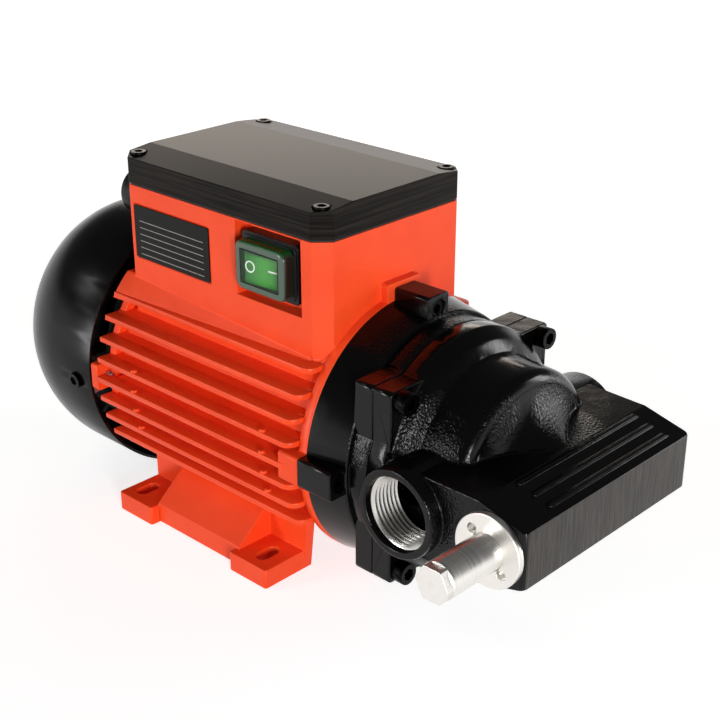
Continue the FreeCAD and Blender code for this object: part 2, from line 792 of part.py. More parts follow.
def terminal_block():
    half_x = BLOCK_POLES * BLOCK_PITCH / 2
    half_y = BLOCK_WIDTH / 2
    top = BOX_FLOOR + BLOCK_HEIGHT
    body = box(BLOCK_X - half_x, BLOCK_X + half_x, BLOCK_Y - half_y, BLOCK_Y + half_y, BOX_FLOOR,
               top)
    holes = []
    for i in range(BLOCK_POLES):
        x = BLOCK_X - half_x + (i + 0.5) * BLOCK_PITCH
        holes.append(along_z(top - BLOCK_HOLE_DEPTH, top + 1, BLOCK_HOLE, x, BLOCK_Y))
    return body.cut(holes)


# Cable gland, with no cable in it


def gland_body():
    outside = BOX_REAR - GLAND_FLANGE
    flange = hex_prism(GLAND_FLATS, GLAND_FLANGE, Vec(outside, GLAND_Y, GLAND_Z), X_DIR)
    neck = along_x(outside - GLAND_NECK, outside, GLAND_THREAD - 1, GLAND_Y, GLAND_Z)
    tail = along_x(BOX_REAR, BOX_REAR + GLAND_INSIDE, GLAND_THREAD, GLAND_Y, GLAND_Z)
    bore = along_x(outside - GLAND_NUT_LENGTH, BOX_REAR + GLAND_INSIDE + 1, GLAND_BORE,
                   GLAND_Y, GLAND_Z)
    return fused([flange, neck, tail]).cut(bore)


def gland_nut():
    x1 = BOX_REAR - GLAND_FLANGE
    x0 = x1 - GLAND_NUT_LENGTH
    nut = along_x(x0, x1, GLAND_NUT_RADIUS, GLAND_Y, GLAND_Z)
    outer = [e for e in nut.Edges if abs(e.CenterOfMass.x - x0) < 1e-6]
    nut = nut.makeChamfer(GLAND_NUT_CHAMFER, outer)
    thread = along_x(x0 + GLAND_NUT_END, x1 + 1, GLAND_THREAD - 1, GLAND_Y, GLAND_Z)
    mouth = along_x(x0 - 1, x0 + GLAND_NUT_END + 1, CABLE_RADIUS + GLAND_MOUTH_GAP, GLAND_Y,
                    GLAND_Z)
    return nut.cut([thread, mouth])


def gland_seal():
    x0 = BOX_REAR - GLAND_FLANGE - GLAND_NECK
    return ring_x(x0, x0 + GLAND_SEAL_LENGTH, GLAND_BORE, CABLE_RADIUS, GLAND_Y, GLAND_Z)


def gland_locknut():
    x0 = BOX_REAR + BOX_WALL
    nut = hex_prism(GLAND_FLATS, GLAND_LOCKNUT, Vec(x0, GLAND_Y, GLAND_Z), X_DIR)
    return nut.cut(along_x(x0 - 1, x0 + GLAND_LOCKNUT + 1, GLAND_THREAD, GLAND_Y, GLAND_Z))


# Rear end of the motor


def dome_point(inset, degrees):
    """Point of the quarter ellipse that the dome's section follows."""
    angle = math.radians(degrees)
    x = COWL_RIM - COWL_STRAIGHT - (COWL_DOME - inset) * math.cos(angle)
    radius = COWL_FLAT_RADIUS + (COWL_RADIUS - COWL_FLAT_RADIUS - inset) * math.sin(angle)
    return Vec(x, radius, 0)


def cowl_solid(inset):
    """Cowl as a full body, from its open rim round the two arcs of the dome to the axis."""
    rim = COWL_RIM + (1 if inset else 0)
    end, low, knee, high, top = (dome_point(inset, degrees) for degrees in (0, 16, 36, 62, 90))
    lines = [
        (Vec(rim, 0, 0), Vec(rim, top.y, 0)),
        (Vec(rim, top.y, 0), top),
        (end, Vec(end.x, 0, 0)),
        (Vec(end.x, 0, 0), Vec(rim, 0, 0)),
    ]
    edges = [Part.LineSegment(a, b).toShape() for a, b in lines]
    edges.append(Part.Arc(end, low, knee).toShape())
    edges.append(Part.Arc(knee, high, top).toShape())
    wire = Part.Wire(Part.__sortEdges__(edges))
    return Part.Face(wire).revolve(Vec(0, 0, 0), X_DIR, 360)


def grille_slots():
    slots = []
    spoke = box(COWL_END - 2, COWL_END + 4, -GRILLE_RIB / 2, GRILLE_RIB / 2, AXIS_HEIGHT,
                AXIS_HEIGHT + COWL_RADIUS)
    spokes = [around_axis(spoke, 360 / GRILLE_SPOKES * i) for i in range(GRILLE_SPOKES)]
    for row in range(GRILLE_ROWS):
        inner = GRILLE_INNER + row * (GRILLE_SLOT + GRILLE_RIB)
        ring = ring_x(COWL_END - 1, COWL_END + 3, inner + GRILLE_SLOT, inner)
        slots.append(ring.cut(spokes))
    return slots


def cowl_screw_angles():
    return [180 + COWL_SCREW_TURN + i * 360 / COWL_SCREWS for i in range(COWL_SCREWS)]


def radial_pin(radius, r0, r1, x, degrees):
    pin = Part.makeCylinder(radius, r1 - r0, Vec(x, 0, AXIS_HEIGHT + r0), Z_DIR)
    return around_axis(pin, degrees - 90)


def fan_cowl():
    shell = on_axis(cowl_solid(0).cut(cowl_solid(COWL_SHEET)))
    x = COWL_RIM - COWL_SCREW_SETBACK
    holes = [radial_pin(SCREW_M5, 50, 75, x, a) for a in cowl_screw_angles()]
    return shell.cut(grille_slots() + holes)


def cowl_screws():
    x = COWL_RIM - COWL_SCREW_SETBACK
    screws = []
    for degrees in cowl_screw_angles():
        seat = Vec(x, 0, AXIS_HEIGHT + COWL_RADIUS)
        screw = socket_screw(seat, Z_DIR, SCREW_M5, HEAD_M5, COWL_SCREW_HEAD, COWL_SCREW_LENGTH)
        screws.append(around_axis(screw, degrees - 90))
    return screws


def rear_end_shield():
    flange_rear = REAR_FACE - SHIELD_REAR_LENGTH
    hub = BEARING_RADIUS + HUB_WALL
    bearing_rear = rear_bearing_x()
    shield = turned(
        [
            (REAR_FACE + SPIGOT, STATOR_BORE),
            (REAR_FACE, STATOR_BORE),
            (REAR_FACE, BARREL_RADIUS),
            (flange_rear, BARREL_RADIUS - 2),
            (flange_rear, hub + 4),
            (bearing_rear - HUB_WALL, hub),
            (bearing_rear - HUB_WALL, BEARING_INNER),
            (bearing_rear - WASHER, BEARING_INNER),
            (bearing_rear - WASHER, BEARING_RADIUS),
            (bearing_rear + BEARING_WIDTH, BEARING_RADIUS),
            (bearing_rear + BEARING_WIDTH, hub),
            (REAR_FACE, hub + 4),
            (REAR_FACE, STATOR_BORE - SPIGOT_WALL - 1),
            (REAR_FACE + SPIGOT, STATOR_BORE - SPIGOT_WALL),
        ]
    )
    inner = COWL_RADIUS - COWL_SHEET
    ears = []
    holes = []
    for turn in range(4):
        ears.append(ear(flange_rear, REAR_FACE, inner - 2, EAR_HALF_WIDTH, 90 * turn))
        y, z = polar_yz(TIE_RADIUS, 90 * turn)
        holes.append(along_x(flange_rear - 1, REAR_FACE + 1, SCREW_M5, y, z))
    arms = []
    reach = COWL_SCREW_SETBACK + COWL_ARM_MARGIN
    for degrees in cowl_screw_angles():
        arm = box(COWL_RIM - reach, REAR_FACE - 1, -COWL_ARM_HALF, COWL_ARM_HALF,
                  AXIS_HEIGHT + STATOR_BORE, AXIS_HEIGHT + COWL_RADIUS)
        arms.append(around_axis(arm, degrees - 90))
        holes.append(
            radial_pin(SCREW_M5, 55, 75, COWL_RIM - COWL_SCREW_SETBACK, degrees)
        )
    within = along_x(COWL_RIM - reach - 1, REAR_FACE, inner)
    arms = [arm.common(within) for arm in arms]
    body = fused([shield] + ears + arms)
    heads = []
    for turn in range(4):
        y, z = polar_yz(TIE_RADIUS, 90 * turn)
        heads.append(along_x(flange_rear - 10, flange_rear, HEAD_M5 + FIT, y, z))
    return body.cut(holes + heads)


def rear_tie_screws():
    screws = []
    seat_x = REAR_FACE - SHIELD_REAR_LENGTH
    length = SHIELD_REAR_LENGTH + REAR_EAR_LENGTH + TAIL
    for turn in range(4):
        y, z = polar_yz(TIE_RADIUS, 90 * turn)
        screws.append(
            socket_screw(Vec(seat_x, y, z), -X_DIR, SCREW_M5, HEAD_M5, LOW_HEAD_HEIGHT, length)
        )
    return screws


def wave_washer():
    x1 = rear_bearing_x()
    return ring_x(x1 - WASHER, x1, BEARING_RADIUS, BEARING_INNER + 2)


def bearing_outer(x0):
    x1 = x0 + BEARING_WIDTH
    lip = BEARING_INNER + BEARING_GAP
    track = BEARING_RADIUS - 2.5
    return turned(
        [
            (x0, BEARING_RADIUS),
            (x1, BEARING_RADIUS),
            (x1, lip),
            (x1 - 1, lip),
            (x1 - 1, track),
            (x0 + 1, track),
            (x0 + 1, lip),
            (x0, lip),
        ]
    )


def bearing_inner(x0):
    return ring_x(x0, x0 + BEARING_WIDTH, BEARING_INNER, BEARING_SEAT)


def rear_bearing_x():
    return REAR_FACE - REAR_BEARING_INSET


def front_bearing_x():
    return FRONT_FACE + FRONT_BEARING_INSET


# Turning parts of the motor


def fan_x():
    return COWL_RIM - COWL_STRAIGHT - FAN_LENGTH - FAN_SET_BACK


def stator_front():
    return STATOR_REAR + STATOR_LENGTH


def rotor_end_x():
    return PARTING + CHAMBER_DEPTH - PORT_PLATE - AXIAL_PLAY


def motor_shaft():
    core_rear = rear_bearing_x() + BEARING_WIDTH
    core_front = front_bearing_x()
    nose = core_front + BEARING_WIDTH
    shaft = turned(
        [
            (fan_x(), 0),
            (fan_x(), SHAFT_RADIUS - 1),
            (fan_x() + 1, SHAFT_RADIUS),
            (rear_bearing_x(), SHAFT_RADIUS),
            (rear_bearing_x(), BEARING_SEAT),
            (core_rear, BEARING_SEAT),
            (core_rear, CORE_SHAFT),
            (core_front, CORE_SHAFT),
            (core_front, BEARING_SEAT),
            (nose, BEARING_SEAT),
            (nose, SHAFT_RADIUS),
            (rotor_end_x() - 1, SHAFT_RADIUS),
            (rotor_end_x(), SHAFT_RADIUS - 1),
            (rotor_end_x(), 0),
        ]
    )
    return shaft


def rotor_core():
    outer = STATOR_INNER - AIR_GAP
    return turned(
        [
            (STATOR_REAR, CORE_SHAFT),
            (STATOR_REAR, outer - 10),
            (STATOR_REAR - END_RING, outer - 9),
            (STATOR_REAR - END_RING, outer - 3),
            (STATOR_REAR, outer - 2),
            (STATOR_REAR, outer),
            (stator_front(), outer),
            (stator_front(), outer - 2),
            (stator_front() + END_RING, outer - 3),
            (stator_front() + END_RING, outer - 9),
            (stator_front(), outer - 10),
            (stator_front(), CORE_SHAFT),
        ]
    )


def stator_core():
    return ring_x(STATOR_REAR, stator_front(), STATOR_BORE, STATOR_INNER)


def winding(x0, x1):
    bevel = WINDING_CHAMFER
    return turned(
        [
            (x0, WINDING_INNER + bevel),
            (x0, WINDING_OUTER - bevel),
            (x0 + bevel, WINDING_OUTER),
            (x1 - bevel, WINDING_OUTER),
            (x1, WINDING_OUTER - bevel),
            (x1, WINDING_INNER + bevel),
            (x1 - bevel, WINDING_INNER),
            (x0 + bevel, WINDING_INNER),
        ]
    )


def cooling_fan():
    x0 = fan_x() + 1
    x1 = x0 + FAN_LENGTH
    hub = ring_x(x0, x1, FAN_HUB, SHAFT_RADIUS)
    disc = ring_x(x1 - FAN_DISC, x1, FAN_RADIUS - 4, SHAFT_RADIUS)
    half = FAN_BLADE / 2
    blade = box(x0, x1, -half, half, AXIS_HEIGHT + SHAFT_RADIUS + 2, AXIS_HEIGHT + FAN_RADIUS)
    slope = prism(
        [
            (x0 - 1, -3, AXIS_HEIGHT + FAN_HUB),
            (x0 - 1, -3, AXIS_HEIGHT + FAN_RADIUS + 1),
            (x0 + 5, -3, AXIS_HEIGHT + FAN_RADIUS + 1),
            (x0, -3, AXIS_HEIGHT + FAN_HUB + 8),
        ],
        (0, 6, 0),
    )
    blade = blade.cut(slope)
    blades = [around_axis(blade, 360 / FAN_BLADES * i) for i in range(FAN_BLADES)]
    return fused([hub, disc] + blades)


# Front end shield, which is also the rear wall of the pump


def lug_blocks(x0, x1):
    lugs = []
    for i in (-1, 1):
        for j in (-1, 1):
            ys = sorted((i * LUG_INNER_Y, i * LUG_HALF_Y))
            zs = sorted((j * LUG_INNER_Z, j * LUG_HALF_Z))
            lug = box(x0, x1, ys[0], ys[1], AXIS_HEIGHT + zs[0], AXIS_HEIGHT + zs[1])
            corner = edges_along(
                lug, X_DIR,
                lambda c: abs(c.y) > LUG_HALF_Y - 1 and abs(c.z - AXIS_HEIGHT) > LUG_HALF_Z - 1,
            )
            lugs.append(lug.makeFillet(LUG_ROUND, corner))
    return lugs


def pump_screw_places():
    return [(i * PUMP_SCREW_Y, AXIS_HEIGHT + j * PUMP_SCREW_Z) for i in (-1, 1) for j in (-1, 1)]


def front_end_shield():
    start = FRONT_FACE - SPIGOT
    drum_end = FRONT_FACE + DRUM_LENGTH
    hub = BEARING_RADIUS + HUB_WALL
    bearing = front_bearing_x()
    seal = PARTING - SEAL_WIDTH - SEAL_INSET
    bore = BEARING_INNER + 1
    shell = turned(
        [
            (start, STATOR_BORE),
            (FRONT_FACE, STATOR_BORE),
            (FRONT_FACE, FRONT_RING_RADIUS - 3),
            (FRONT_FACE + 2, FRONT_RING_RADIUS - 3),
            (FRONT_FACE + 3, DRUM_RADIUS),
            (drum_end - 2, DRUM_RADIUS),
            (drum_end, FLANGE_RADIUS),
            (PARTING, FLANGE_RADIUS),
            (PARTING, SEAL_RADIUS),
            (seal, SEAL_RADIUS),
            (seal, bore),
            (bearing + BEARING_WIDTH, bore),
            (bearing + BEARING_WIDTH, BEARING_RADIUS),
            (bearing, BEARING_RADIUS),
            (bearing, hub),
            (bearing + BEARING_WIDTH, hub + 3),
            (bearing + BEARING_WIDTH, DRUM_RADIUS - DRUM_WALL),
            (start, STATOR_BORE - SPIGOT_WALL),
        ]
    )
    ears = []
    tools = []
    for turn in range(4):
        ears.append(ear(FRONT_FACE, LUG_REAR, EAR_RADIUS, EAR_HALF_WIDTH, 90 * turn))
        y, z = polar_yz(TIE_RADIUS, 90 * turn)
        tools.append(along_x(FRONT_FACE - 1, LUG_REAR + 1, SCREW_M5, y, z))
        head = LUG_REAR - HEAD_M5_HEIGHT - HEAD_SUNK
        tools.append(along_x(head, LUG_REAR + 1, HEAD_M5 + FIT, y, z))
    hollow = turned(
        [
            (start - 1, 0),
            (start - 1, STATOR_BORE - SPIGOT_WALL),
            (bearing + BEARING_WIDTH - 1, DRUM_RADIUS - DRUM_WALL),
            (bearing + BEARING_WIDTH - 1, 0),
        ]
    ).cut(along_x(bearing, bearing + BEARING_WIDTH, hub))
    body = fused([shell] + [e.cut(hollow) for e in ears] + lug_blocks(LUG_REAR, PARTING))
    for y, z in pump_screw_places():
        tools.append(along_x(LUG_REAR - 1, PARTING + 1, SCREW_M6, y, z))
    return body.cut(tools)


def front_tie_screws():
    seat_x = LUG_REAR - HEAD_M5_HEIGHT - HEAD_SUNK
    length = seat_x - FRONT_FACE + FRONT_EAR_LENGTH + TAIL
    screws = []
    for turn in range(4):
        y, z = polar_yz(TIE_RADIUS, 90 * turn)
        screws.append(
            socket_screw(Vec(seat_x, y, z), X_DIR, SCREW_M5, HEAD_M5, HEAD_M5_HEIGHT, length)
        )
    return screws


def shaft_seal():
    x1 = PARTING - SEAL_INSET
    return ring_x(x1 - SEAL_WIDTH, x1, SEAL_RADIUS, SHAFT_RADIUS + RUNNING)


# Pump body: flange, drum, port arms and bypass nose in one casting


def pump_drum():
    """Turned core of the body, with the hollow sweep from its face down to the nose."""
    rim = PARTING + RIM_REACH
    end = PARTING + PUMP_DRUM_LENGTH
    sweep_top = Vec(end, PUMP_DRUM_RADIUS - 7.5, 0)
    sweep_end = Vec(end + BLEND, ARM_HALF_HEIGHT, 0)
    middle = Vec(end + BLEND * 0.3, ARM_HALF_HEIGHT + (sweep_top.y - ARM_HALF_HEIGHT) * 0.42, 0)
    round_start = Vec(end - 5, PUMP_DRUM_RADIUS - 1, 0)
    round_middle = Vec(end - 1.3, PUMP_DRUM_RADIUS - 3.2, 0)
    points = [
        Vec(PARTING, 0, 0),
        Vec(PARTING, FLANGE_RADIUS, 0),
        Vec(PARTING + LUG_THICKNESS - 2, FLANGE_RADIUS, 0),
        Vec(rim - 1, RIM_RADIUS, 0),
        Vec(rim, RIM_RADIUS - 1, 0),
        Vec(rim + 3, PUMP_DRUM_RADIUS, 0),
        round_start,
    ]
    edges = [Part.LineSegment(a, b).toShape() for a, b in zip(points, points[1:])]
    edges.append(Part.Arc(round_start, round_middle, sweep_top).toShape())
    edges.append(Part.Arc(sweep_top, middle, sweep_end).toShape())
    edges.append(Part.LineSegment(sweep_end, Vec(sweep_end.x, 0, 0)).toShape())
    edges.append(Part.LineSegment(Vec(sweep_end.x, 0, 0), points[0]).toShape())
    face = Part.Face(Part.Wire(Part.__sortEdges__(edges)))
    return on_axis(face.revolve(Vec(0, 0, 0), X_DIR, 360))


def nose_arms():
    """Flat block across the pump that carries both ports and tapers to the nose."""
    z = AXIS_HEIGHT
    outline = [
        (PORT_X, NOSE_SIDE, z - ARM_HALF_HEIGHT),
        (NOSE_FLAT_END, NOSE_SIDE, z - ARM_HALF_HEIGHT),
        (NOSE_FACE, NOSE_SIDE, z - NOSE_HALF_HEIGHT),
        (NOSE_FACE, NOSE_SIDE, z + NOSE_HALF_HEIGHT),
        (NOSE_FLAT_END, NOSE_SIDE, z + ARM_HALF_HEIGHT),
        (PORT_X, NOSE_SIDE, z + ARM_HALF_HEIGHT),
    ]
    block = prism(outline, (0, 2 * ARM_HALF_WIDTH, 0))
    upright = edges_along(block, Z_DIR, lambda c: c.x > NOSE_FACE - 1)
    return block.makeFillet(NOSE_ROUND, upright)


def nose_ribs():
    """Thin ribs with round ends that stand square on the sloping top of the nose."""
    drop = ARM_HALF_HEIGHT - NOSE_HALF_HEIGHT
    run = NOSE_FACE - NOSE_FLAT_END
    length = math.hypot(drop, run)
    normal = Vec(drop / length, 0, run / length)
    side = Vec(run / length, 0, -drop / length) * RIB_RADIUS
    ribs = []
    for i in range(RIBS):
        x = RIB_FIRST + i * RIB_PITCH
        z = AXIS_HEIGHT + ARM_HALF_HEIGHT - drop * (x - NOSE_FLAT_END) / run
        root = Vec(x, RIB_CENTRE_Y, z) - normal * RIB_HEIGHT
        ends = [root - Y_DIR * RIB_HALF_LENGTH, root + Y_DIR * RIB_HALF_LENGTH]
        corners = [ends[0] - side, ends[0] + side, ends[1] + side, ends[1] - side]
        ribs.append(prism(corners, normal * 2 * RIB_HEIGHT))
        for end in ends:
            ribs.append(Part.makeCylinder(RIB_RADIUS, 2 * RIB_HEIGHT, end, normal))
    return ribs


def pump_body():
    ports = along_y(-PORT_REACH, PORT_REACH, PORT_BOSS, PORT_X)
    solid = fused([pump_drum(), nose_arms(), ports] + lug_blocks(PARTING, LUG_FRONT) + nose_ribs())
    depth = PORT_REACH - PORT_DEPTH
    chamber_end = PARTING + CHAMBER_DEPTH
    tools = [along_x(PARTING - 1, chamber_end, CHAMBER_RADIUS)]
    passage_x = chamber_end - PORT_PLATE - PASSAGE - 3
    tools.append(along_y(-depth - 1, depth + 1, PASSAGE, passage_x))
    for side in (-1, 1):
        ends = sorted((side * depth, side * (PORT_REACH + 1)))
        tools.append(along_y(ends[0], ends[1], PORT_THREAD, PORT_X))
        cross_y = side * (CHAMBER_RADIUS + 6)
        tools.append(along_x(PORT_X, BYPASS_X, BYPASS_PASSAGE - 1, cross_y))
        inward = sorted((side * depth, cross_y))
        tools.append(along_y(inward[0] - 1, inward[1] + 1, BYPASS_PASSAGE, PORT_X))
    tools.append(along_y(NOSE_SIDE - 1, BYPASS_SEAT_Y, BYPASS_BORE, BYPASS_X))
    tools.append(along_y(BYPASS_SEAT_Y - 1, CHAMBER_RADIUS + 8, BYPASS_PASSAGE, BYPASS_X))
    for y, z in pump_screw_places():
        tools.append(along_x(PARTING - 1, LUG_FRONT + 1, SCREW_M6, y, z))
    groove = O_RING
    tools.append(ring_x(PARTING - 1, PARTING + groove, CHAMBER_RADIUS + 5, CHAMBER_RADIUS + 2.5))
    return solid.cut(tools).removeSplitter()


def pump_screws():
    length = LUG_THICKNESS + FLANGE_THICKNESS
    return [
        socket_screw(Vec(LUG_FRONT, y, z), X_DIR, SCREW_M6, HEAD_M6, HEAD_M6_HEIGHT, length)
        for y, z in pump_screw_places()
    ]


def body_o_ring():
    return ring_x(PARTING, PARTING + O_RING, CHAMBER_RADIUS + 5, CHAMBER_RADIUS + 2.5)


# Pump works


def works_end():
    return PARTING + CHAMBER_DEPTH - PORT_PLATE


def cam_ring():
    ring = along_x(PARTING, works_end(), CHAMBER_RADIUS)
    bore = along_x(PARTING - 1, works_end() + 1, CAM_BORE, 0, AXIS_HEIGHT + CAM_OFFSET)
    window_x = works_end() - PASSAGE - 3
    window = along_y(-CHAMBER_RADIUS - 1, CHAMBER_RADIUS + 1, PASSAGE - 1, window_x)
    return ring.cut([bore, window])


def port_plate():
    plate = along_x(works_end(), works_end() + PORT_PLATE, CHAMBER_RADIUS)
    recess = along_x(works_end() - 1, works_end() + 2, SHAFT_RADIUS + 1)
    return plate.cut(recess)


def pump_rotor():
    x0 = PARTING + AXIAL_PLAY
    x1 = works_end() - AXIAL_PLAY
    rotor = ring_x(x0, x1, ROTOR_RADIUS, SHAFT_RADIUS)
    half = VANE_THICKNESS / 2 + RUNNING
    slot = box(x0 - 1, x1 + 1, -half, half, AXIS_HEIGHT + ROTOR_RADIUS - VANE_DEPTH - 1.5,
               AXIS_HEIGHT + ROTOR_RADIUS + 1)
    return rotor.cut([around_axis(slot, 360 / VANES * i) for i in range(VANES)])


def vanes():
    x0 = PARTING + AXIAL_PLAY
    x1 = works_end() - AXIAL_PLAY
    half = VANE_THICKNESS / 2
    top = AXIS_HEIGHT + ROTOR_RADIUS - 0.3
    vane = box(x0, x1, -half, half, top - VANE_DEPTH, top)
    return [around_axis(vane, 360 / VANES * i) for i in range(VANES)]


# Bypass valve


def plug_end():
    return NOSE_SIDE + BYPASS_RING_PLUG


def collar_end():
    return plug_end() + CAP_COLLAR


def bypass_ring():
    disc = along_y(NOSE_SIDE - BYPASS_RING, NOSE_SIDE, BYPASS_RING_RADIUS, BYPASS_X)
    rim = [e for e in disc.Edges if abs(e.CenterOfMass.y - NOSE_SIDE + BYPASS_RING) < 1e-6]
    disc = disc.makeChamfer(0.4, rim)
    plug = along_y(NOSE_SIDE, plug_end(), BYPASS_BORE, BYPASS_X)
    tools = [along_y(NOSE_SIDE - BYPASS_RING - 1, plug_end() + 1, CAP_RADIUS, BYPASS_X)]
    offset = SPANNER_CIRCLE / math.sqrt(2)
    for side in (-1, 1):
        tools.append(
            along_y(NOSE_SIDE - BYPASS_RING - 1, NOSE_SIDE - 0.5, SPANNER_HOLE,
                    BYPASS_X + side * offset, AXIS_HEIGHT - side * offset)
        )
    return disc.fuse(plug).cut(tools)


def bypass_cap():
    tip = NOSE_SIDE - BYPASS_RING - CAP_REACH
    pin = along_y(tip + CAP_FLAT_LENGTH, plug_end(), CAP_RADIUS, BYPASS_X)
    end = hex_prism(CAP_FLATS, CAP_FLAT_LENGTH, Vec(BYPASS_X, tip, AXIS_HEIGHT), Y_DIR)
    end = end.common(along_y(tip, tip + CAP_FLAT_LENGTH, CAP_RADIUS, BYPASS_X))
    collar = along_y(plug_end(), collar_end(), BYPASS_BORE, BYPASS_X)
    guide = along_y(collar_end() - GUIDE_DEPTH, collar_end() + 1, GUIDE_RADIUS + RUNNING,
                    BYPASS_X)
    return fused([pin, end, collar]).cut(guide)


def bypass_poppet():
    seat = BYPASS_SEAT_Y
    head = along_y(seat - POPPET_HEAD, seat, POPPET_RADIUS, BYPASS_X)
    stem = along_y(collar_end() - GUIDE_DEPTH + 8, seat - POPPET_HEAD, GUIDE_RADIUS, BYPASS_X)
    nose = Part.makeCone(BYPASS_PASSAGE - 0.3, BYPASS_PASSAGE - 3, 3, Vec(BYPASS_X, seat, AXIS_HEIGHT),
                         Y_DIR)
    return fused([head, stem, nose])


def bypass_spring():
    """Coil of square wire between the collar of the cap and the poppet's head."""
    y0 = collar_end() + SPRING_WIRE
    y1 = BYPASS_SEAT_Y - POPPET_HEAD - SPRING_WIRE
    pitch = (y1 - y0) / SPRING_TURNS
    helix = Part.makeHelix(pitch, y1 - y0, SPRING_RADIUS)
    start = Vec(SPRING_RADIUS, 0, 0)
    corners = [
        start + Vec(i * SPRING_WIRE, 0, j * SPRING_WIRE)
        for i, j in ((-1, -1), (1, -1), (1, 1), (-1, 1))
    ]
    section = Part.makePolygon(corners + corners[:1])
    spring = Part.Wire(helix).makePipeShell([section], True, True)
    spring.Placement = FreeCAD.Placement(
        Vec(BYPASS_X, y0, AXIS_HEIGHT), FreeCAD.Rotation(Z_DIR, Y_DIR)
    )
    return spring


def export(name, shape):
    solids = shape if isinstance(shape, list) else [shape]
    shape = solids[0] if len(solids) == 1 else Part.makeCompound(solids)
    shape.exportStep(os.path.join("parts", name + ".step"))


def main():
    os.makedirs("parts", exist_ok=True)
    nodes = {
        "motor_housing": motor_housing(),
        "rating_plate": rating_plate(),
        "lid_gasket": lid_gasket(),
        "box_lid": box_lid(),
        "lid_screws": lid_screws(),
        "switch_frame": switch_frame(),
        "switch_boot": switch_boot(),
        "switch_rocker": switch_rocker(),
        "switch_terminals": switch_terminals(),
        "capacitor": capacitor(),
        "terminal_block": terminal_block(),
        "gland_body": gland_body(),
        "gland_nut": gland_nut(),
        "gland_seal": gland_seal(),
        "gland_locknut": gland_locknut(),
        "fan_cowl": fan_cowl(),
        "cowl_screws": cowl_screws(),
        "rear_end_shield": rear_end_shield(),
        "rear_tie_screws": rear_tie_screws(),
        "wave_washer": wave_washer(),
        "rear_bearing_outer": bearing_outer(rear_bearing_x()),
        "rear_bearing_inner": bearing_inner(rear_bearing_x()),
        "front_bearing_outer": bearing_outer(front_bearing_x()),
        "front_bearing_inner": bearing_inner(front_bearing_x()),
        "motor_shaft": motor_shaft(),
        "rotor_core": rotor_core(),
        "stator_core": stator_core(),
        "rear_winding": winding(STATOR_REAR - WINDING_LENGTH, STATOR_REAR),
        "front_winding": winding(stator_front(), stator_front() + WINDING_LENGTH),
        "cooling_fan": cooling_fan(),
        "front_end_shield": front_end_shield(),
        "front_tie_screws": front_tie_screws(),
        "shaft_seal": shaft_seal(),
        "pump_body": pump_body(),
        "pump_screws": pump_screws(),
        "body_o_ring": body_o_ring(),
        "cam_ring": cam_ring(),
        "port_plate": port_plate(),
        "pump_rotor": pump_rotor(),
        "vanes": vanes(),
        "bypass_ring": bypass_ring(),
        "bypass_cap": bypass_cap(),
        "bypass_poppet": bypass_poppet(),
        "bypass_spring": bypass_spring(),
    }
    for name, shape in nodes.items():
        export(name, shape)


main()
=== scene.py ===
# %% [markdown]
# # A diesel transfer pump
# A vane pump bolted to a finned electric motor. The solid model gives every shape its place and size, in
# metres. This lesson adds the looks: softened edges, real finishes, and the small pieces that only the eye
# needs, such as pipe threads and the soft boot over the switch.

# %% Load the solid model
import json
import math

import bmesh
import bpy
from mathutils import Matrix, Vector


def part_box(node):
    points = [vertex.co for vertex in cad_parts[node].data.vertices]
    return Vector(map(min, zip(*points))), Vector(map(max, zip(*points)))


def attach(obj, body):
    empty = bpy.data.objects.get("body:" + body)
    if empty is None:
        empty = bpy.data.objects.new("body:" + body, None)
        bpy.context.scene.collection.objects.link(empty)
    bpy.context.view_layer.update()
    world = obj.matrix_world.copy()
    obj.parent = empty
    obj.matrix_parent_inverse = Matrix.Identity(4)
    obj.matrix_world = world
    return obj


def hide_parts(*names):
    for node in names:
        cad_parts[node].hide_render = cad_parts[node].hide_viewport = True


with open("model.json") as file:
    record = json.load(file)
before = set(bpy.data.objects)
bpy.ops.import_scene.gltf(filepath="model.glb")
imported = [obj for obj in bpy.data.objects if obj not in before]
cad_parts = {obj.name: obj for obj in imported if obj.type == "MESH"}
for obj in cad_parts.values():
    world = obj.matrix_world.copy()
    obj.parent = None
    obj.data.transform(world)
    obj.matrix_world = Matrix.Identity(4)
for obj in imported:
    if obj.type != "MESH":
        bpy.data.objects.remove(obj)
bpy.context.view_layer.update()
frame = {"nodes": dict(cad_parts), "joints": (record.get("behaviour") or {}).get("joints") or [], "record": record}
MM = 0.001

# %% [markdown]
# ## The camera
# The picture was taken from the front left corner of the pump, a little above it, with a long lens. A
# camera placed by eye would let edges drift. Here the turn, the rise, the distance and the lens come from a
# fit of known corners, so edges fall where the picture has them.

# %% Place the camera
VIEW_TURN = math.radians(43.4974)
VIEW_RISE = math.radians(24.142)
VIEW_DISTANCE = 0.738906
VIEW_TARGET = Vector((-0.04572, 0.05551, 0.05974))
SENSOR = 36.0
PICTURE = 720
FOCAL_PIXELS = 1386.27
CLIP_START = 10 * MM

back = Vector((
    math.sin(VIEW_TURN) * math.cos(VIEW_RISE),
    -math.cos(VIEW_TURN) * math.cos(VIEW_RISE),
    math.sin(VIEW_RISE),
))
camera = bpy.data.objects.new("camera", bpy.data.cameras.new("camera"))
camera.data.sensor_width = SENSOR
camera.data.lens = SENSOR * FOCAL_PIXELS / PICTURE
camera.data.clip_start = CLIP_START
camera.location = VIEW_TARGET + back * VIEW_DISTANCE
camera.rotation_euler = (-back).to_track_quat("-Z", "Y").to_euler()
bpy.context.scene.collection.objects.link(camera)
bpy.context.scene.camera = camera
print("camera at", [round(v, 4) for v in camera.location], "lens", round(camera.data.lens, 2))

# %% [markdown]
# ## Building materials
# Colours are written as sRGB hex, the way a colour chart gives them, and turned to the linear numbers that
# the shader works with. One function adds a node: plain values set its sockets, and another node's output
# makes a link.


